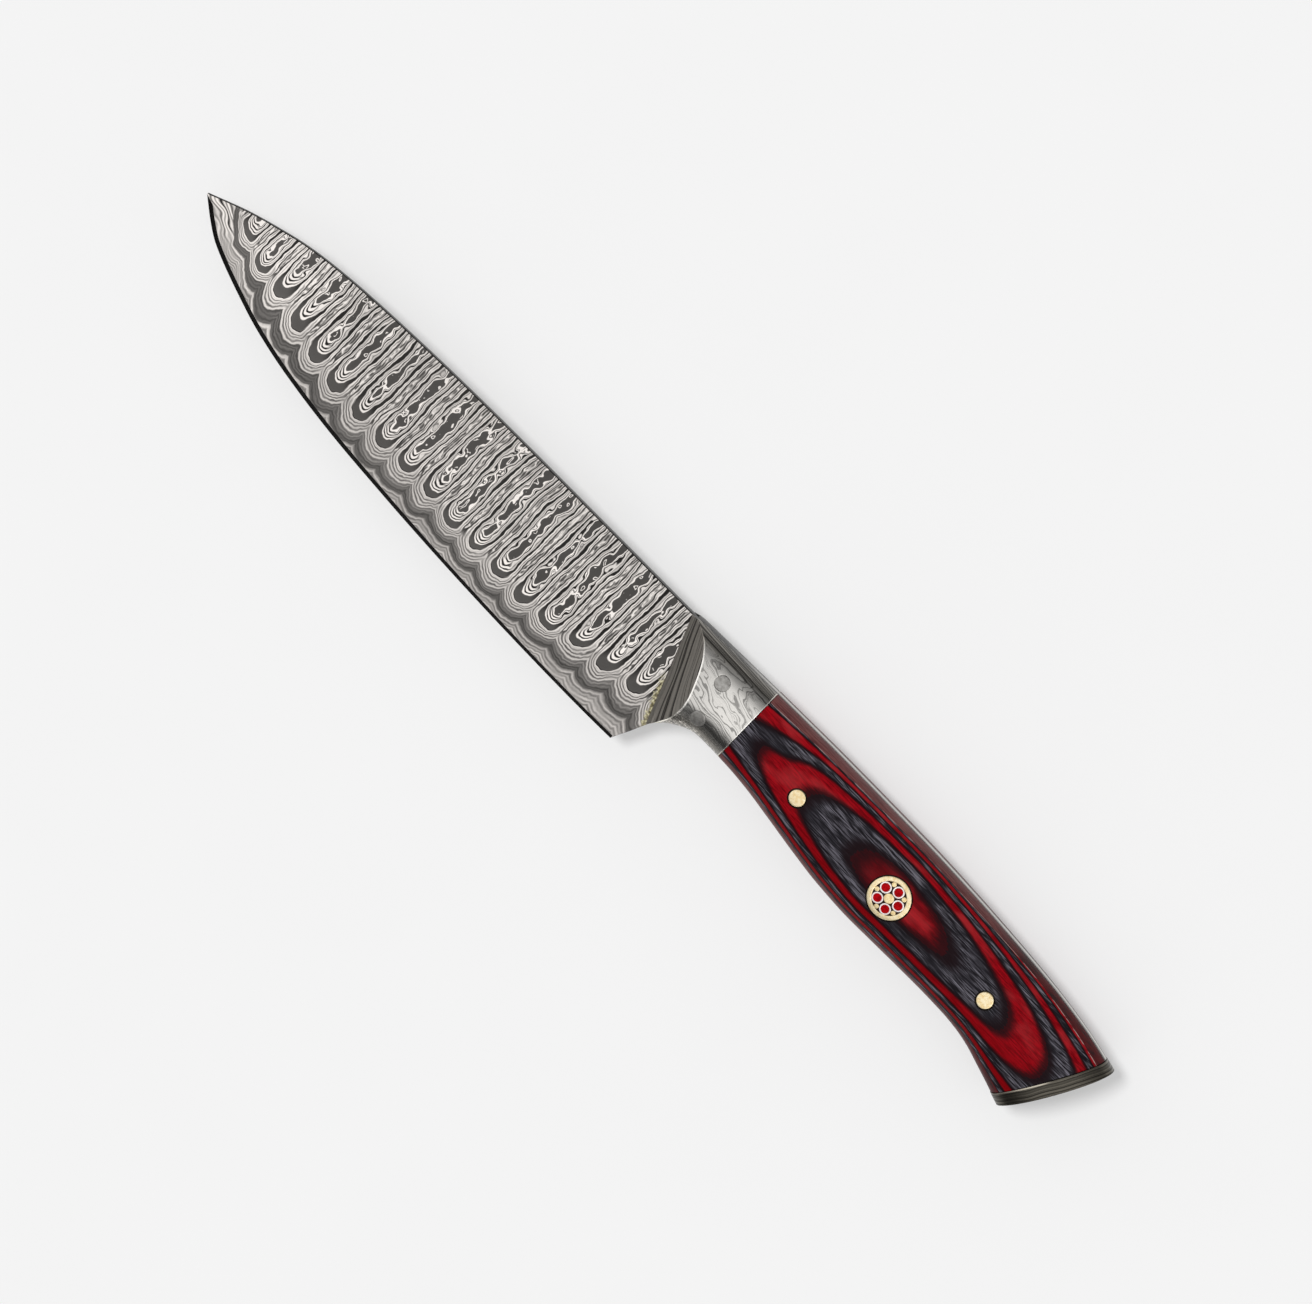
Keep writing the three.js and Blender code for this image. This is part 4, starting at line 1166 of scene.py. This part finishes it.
sun = bpy.data.lights.new("key", "SUN")
sun.energy = 1.62
sun.angle = math.radians(15)
key = bpy.data.objects.new("key", sun)
scene_col = bpy.context.scene.collection
scene_col.objects.link(key)
key.rotation_euler = Vector((-0.36, 0.12, 1.0)).to_track_quat("Z", "Y").to_euler()
key.visible_glossy = False

# The room: even light on matt things; polished things see a wide soft box on the edge
# side, a dimmer spine side and a dark horizon.
world = bpy.data.worlds.new("studio")
bpy.context.scene.world = world
world.use_nodes = True
wn = world.node_tree
wn.nodes.clear()
wo = wn.nodes.new("ShaderNodeOutputWorld")
wb = wn.nodes.new("ShaderNodeBackground")
wd = wn.nodes.new("ShaderNodeBackground")
wm = wn.nodes.new("ShaderNodeMixShader")
wl = wn.nodes.new("ShaderNodeLightPath")
wc = wn.nodes.new("ShaderNodeTexCoord")
ws = wn.nodes.new("ShaderNodeSeparateXYZ")
wa = wn.nodes.new("ShaderNodeMath")
wa.operation = "ARCTAN2"
wk = wn.nodes.new("ShaderNodeMath")
wk.operation = "MULTIPLY_ADD"
wk.inputs[1].default_value, wk.inputs[2].default_value = 1 / math.pi, 0.5
wr = wn.nodes.new("ShaderNodeValToRGB")
wn.links.new(wc.outputs["Generated"], ws.inputs[0])
wn.links.new(ws.outputs[1], wa.inputs[0])
wn.links.new(ws.outputs[2], wa.inputs[1])
wn.links.new(wa.outputs[0], wk.inputs[0])
wn.links.new(wk.outputs[0], wr.inputs[0])
wn.links.new(wr.outputs[0], wb.inputs[0])
# a second soft box beyond the butt, seen by polished steel from behind the spine
wx = wn.nodes.new("ShaderNodeMapRange")
wx.interpolation_type = "SMOOTHSTEP"
for i_, v_ in ((1, 0.40), (2, 0.62), (3, 1.0), (4, 2.6)):
    wx.inputs[i_].default_value = v_
wn.links.new(ws.outputs[0], wx.inputs[0])
wn.links.new(wx.outputs[0], wb.inputs[1])
wd.inputs[0].default_value = (0.50, 0.50, 0.50, 1)
wn.links.new(wl.outputs["Is Glossy Ray"], wm.inputs[0])
wn.links.new(wd.outputs[0], wm.inputs[1])
wn.links.new(wb.outputs[0], wm.inputs[2])
wn.links.new(wm.outputs[0], wo.inputs[0])
sky = [(-90, 0.10), (-60, 0.10), (-47, 0.14), (-41, 0.34), (-35, 0.95), (-24, 1.08), (-6, 1.04),
       (5, 0.94), (12, 0.66), (22, 0.46), (40, 0.36), (90, 0.26)]
el = wr.color_ramp.elements
while len(el) < len(sky):
    el.new(0.5)
for e, (deg, c_) in zip(el, sky):
    e.position = deg / 180 + 0.5
    e.color = (c_, c_, c_, 1)

scene = bpy.context.scene
scene.view_settings.view_transform = "Standard"
scene.view_settings.look = "None"
scene.view_settings.exposure = 0.0
scene.view_settings.gamma = 1.0
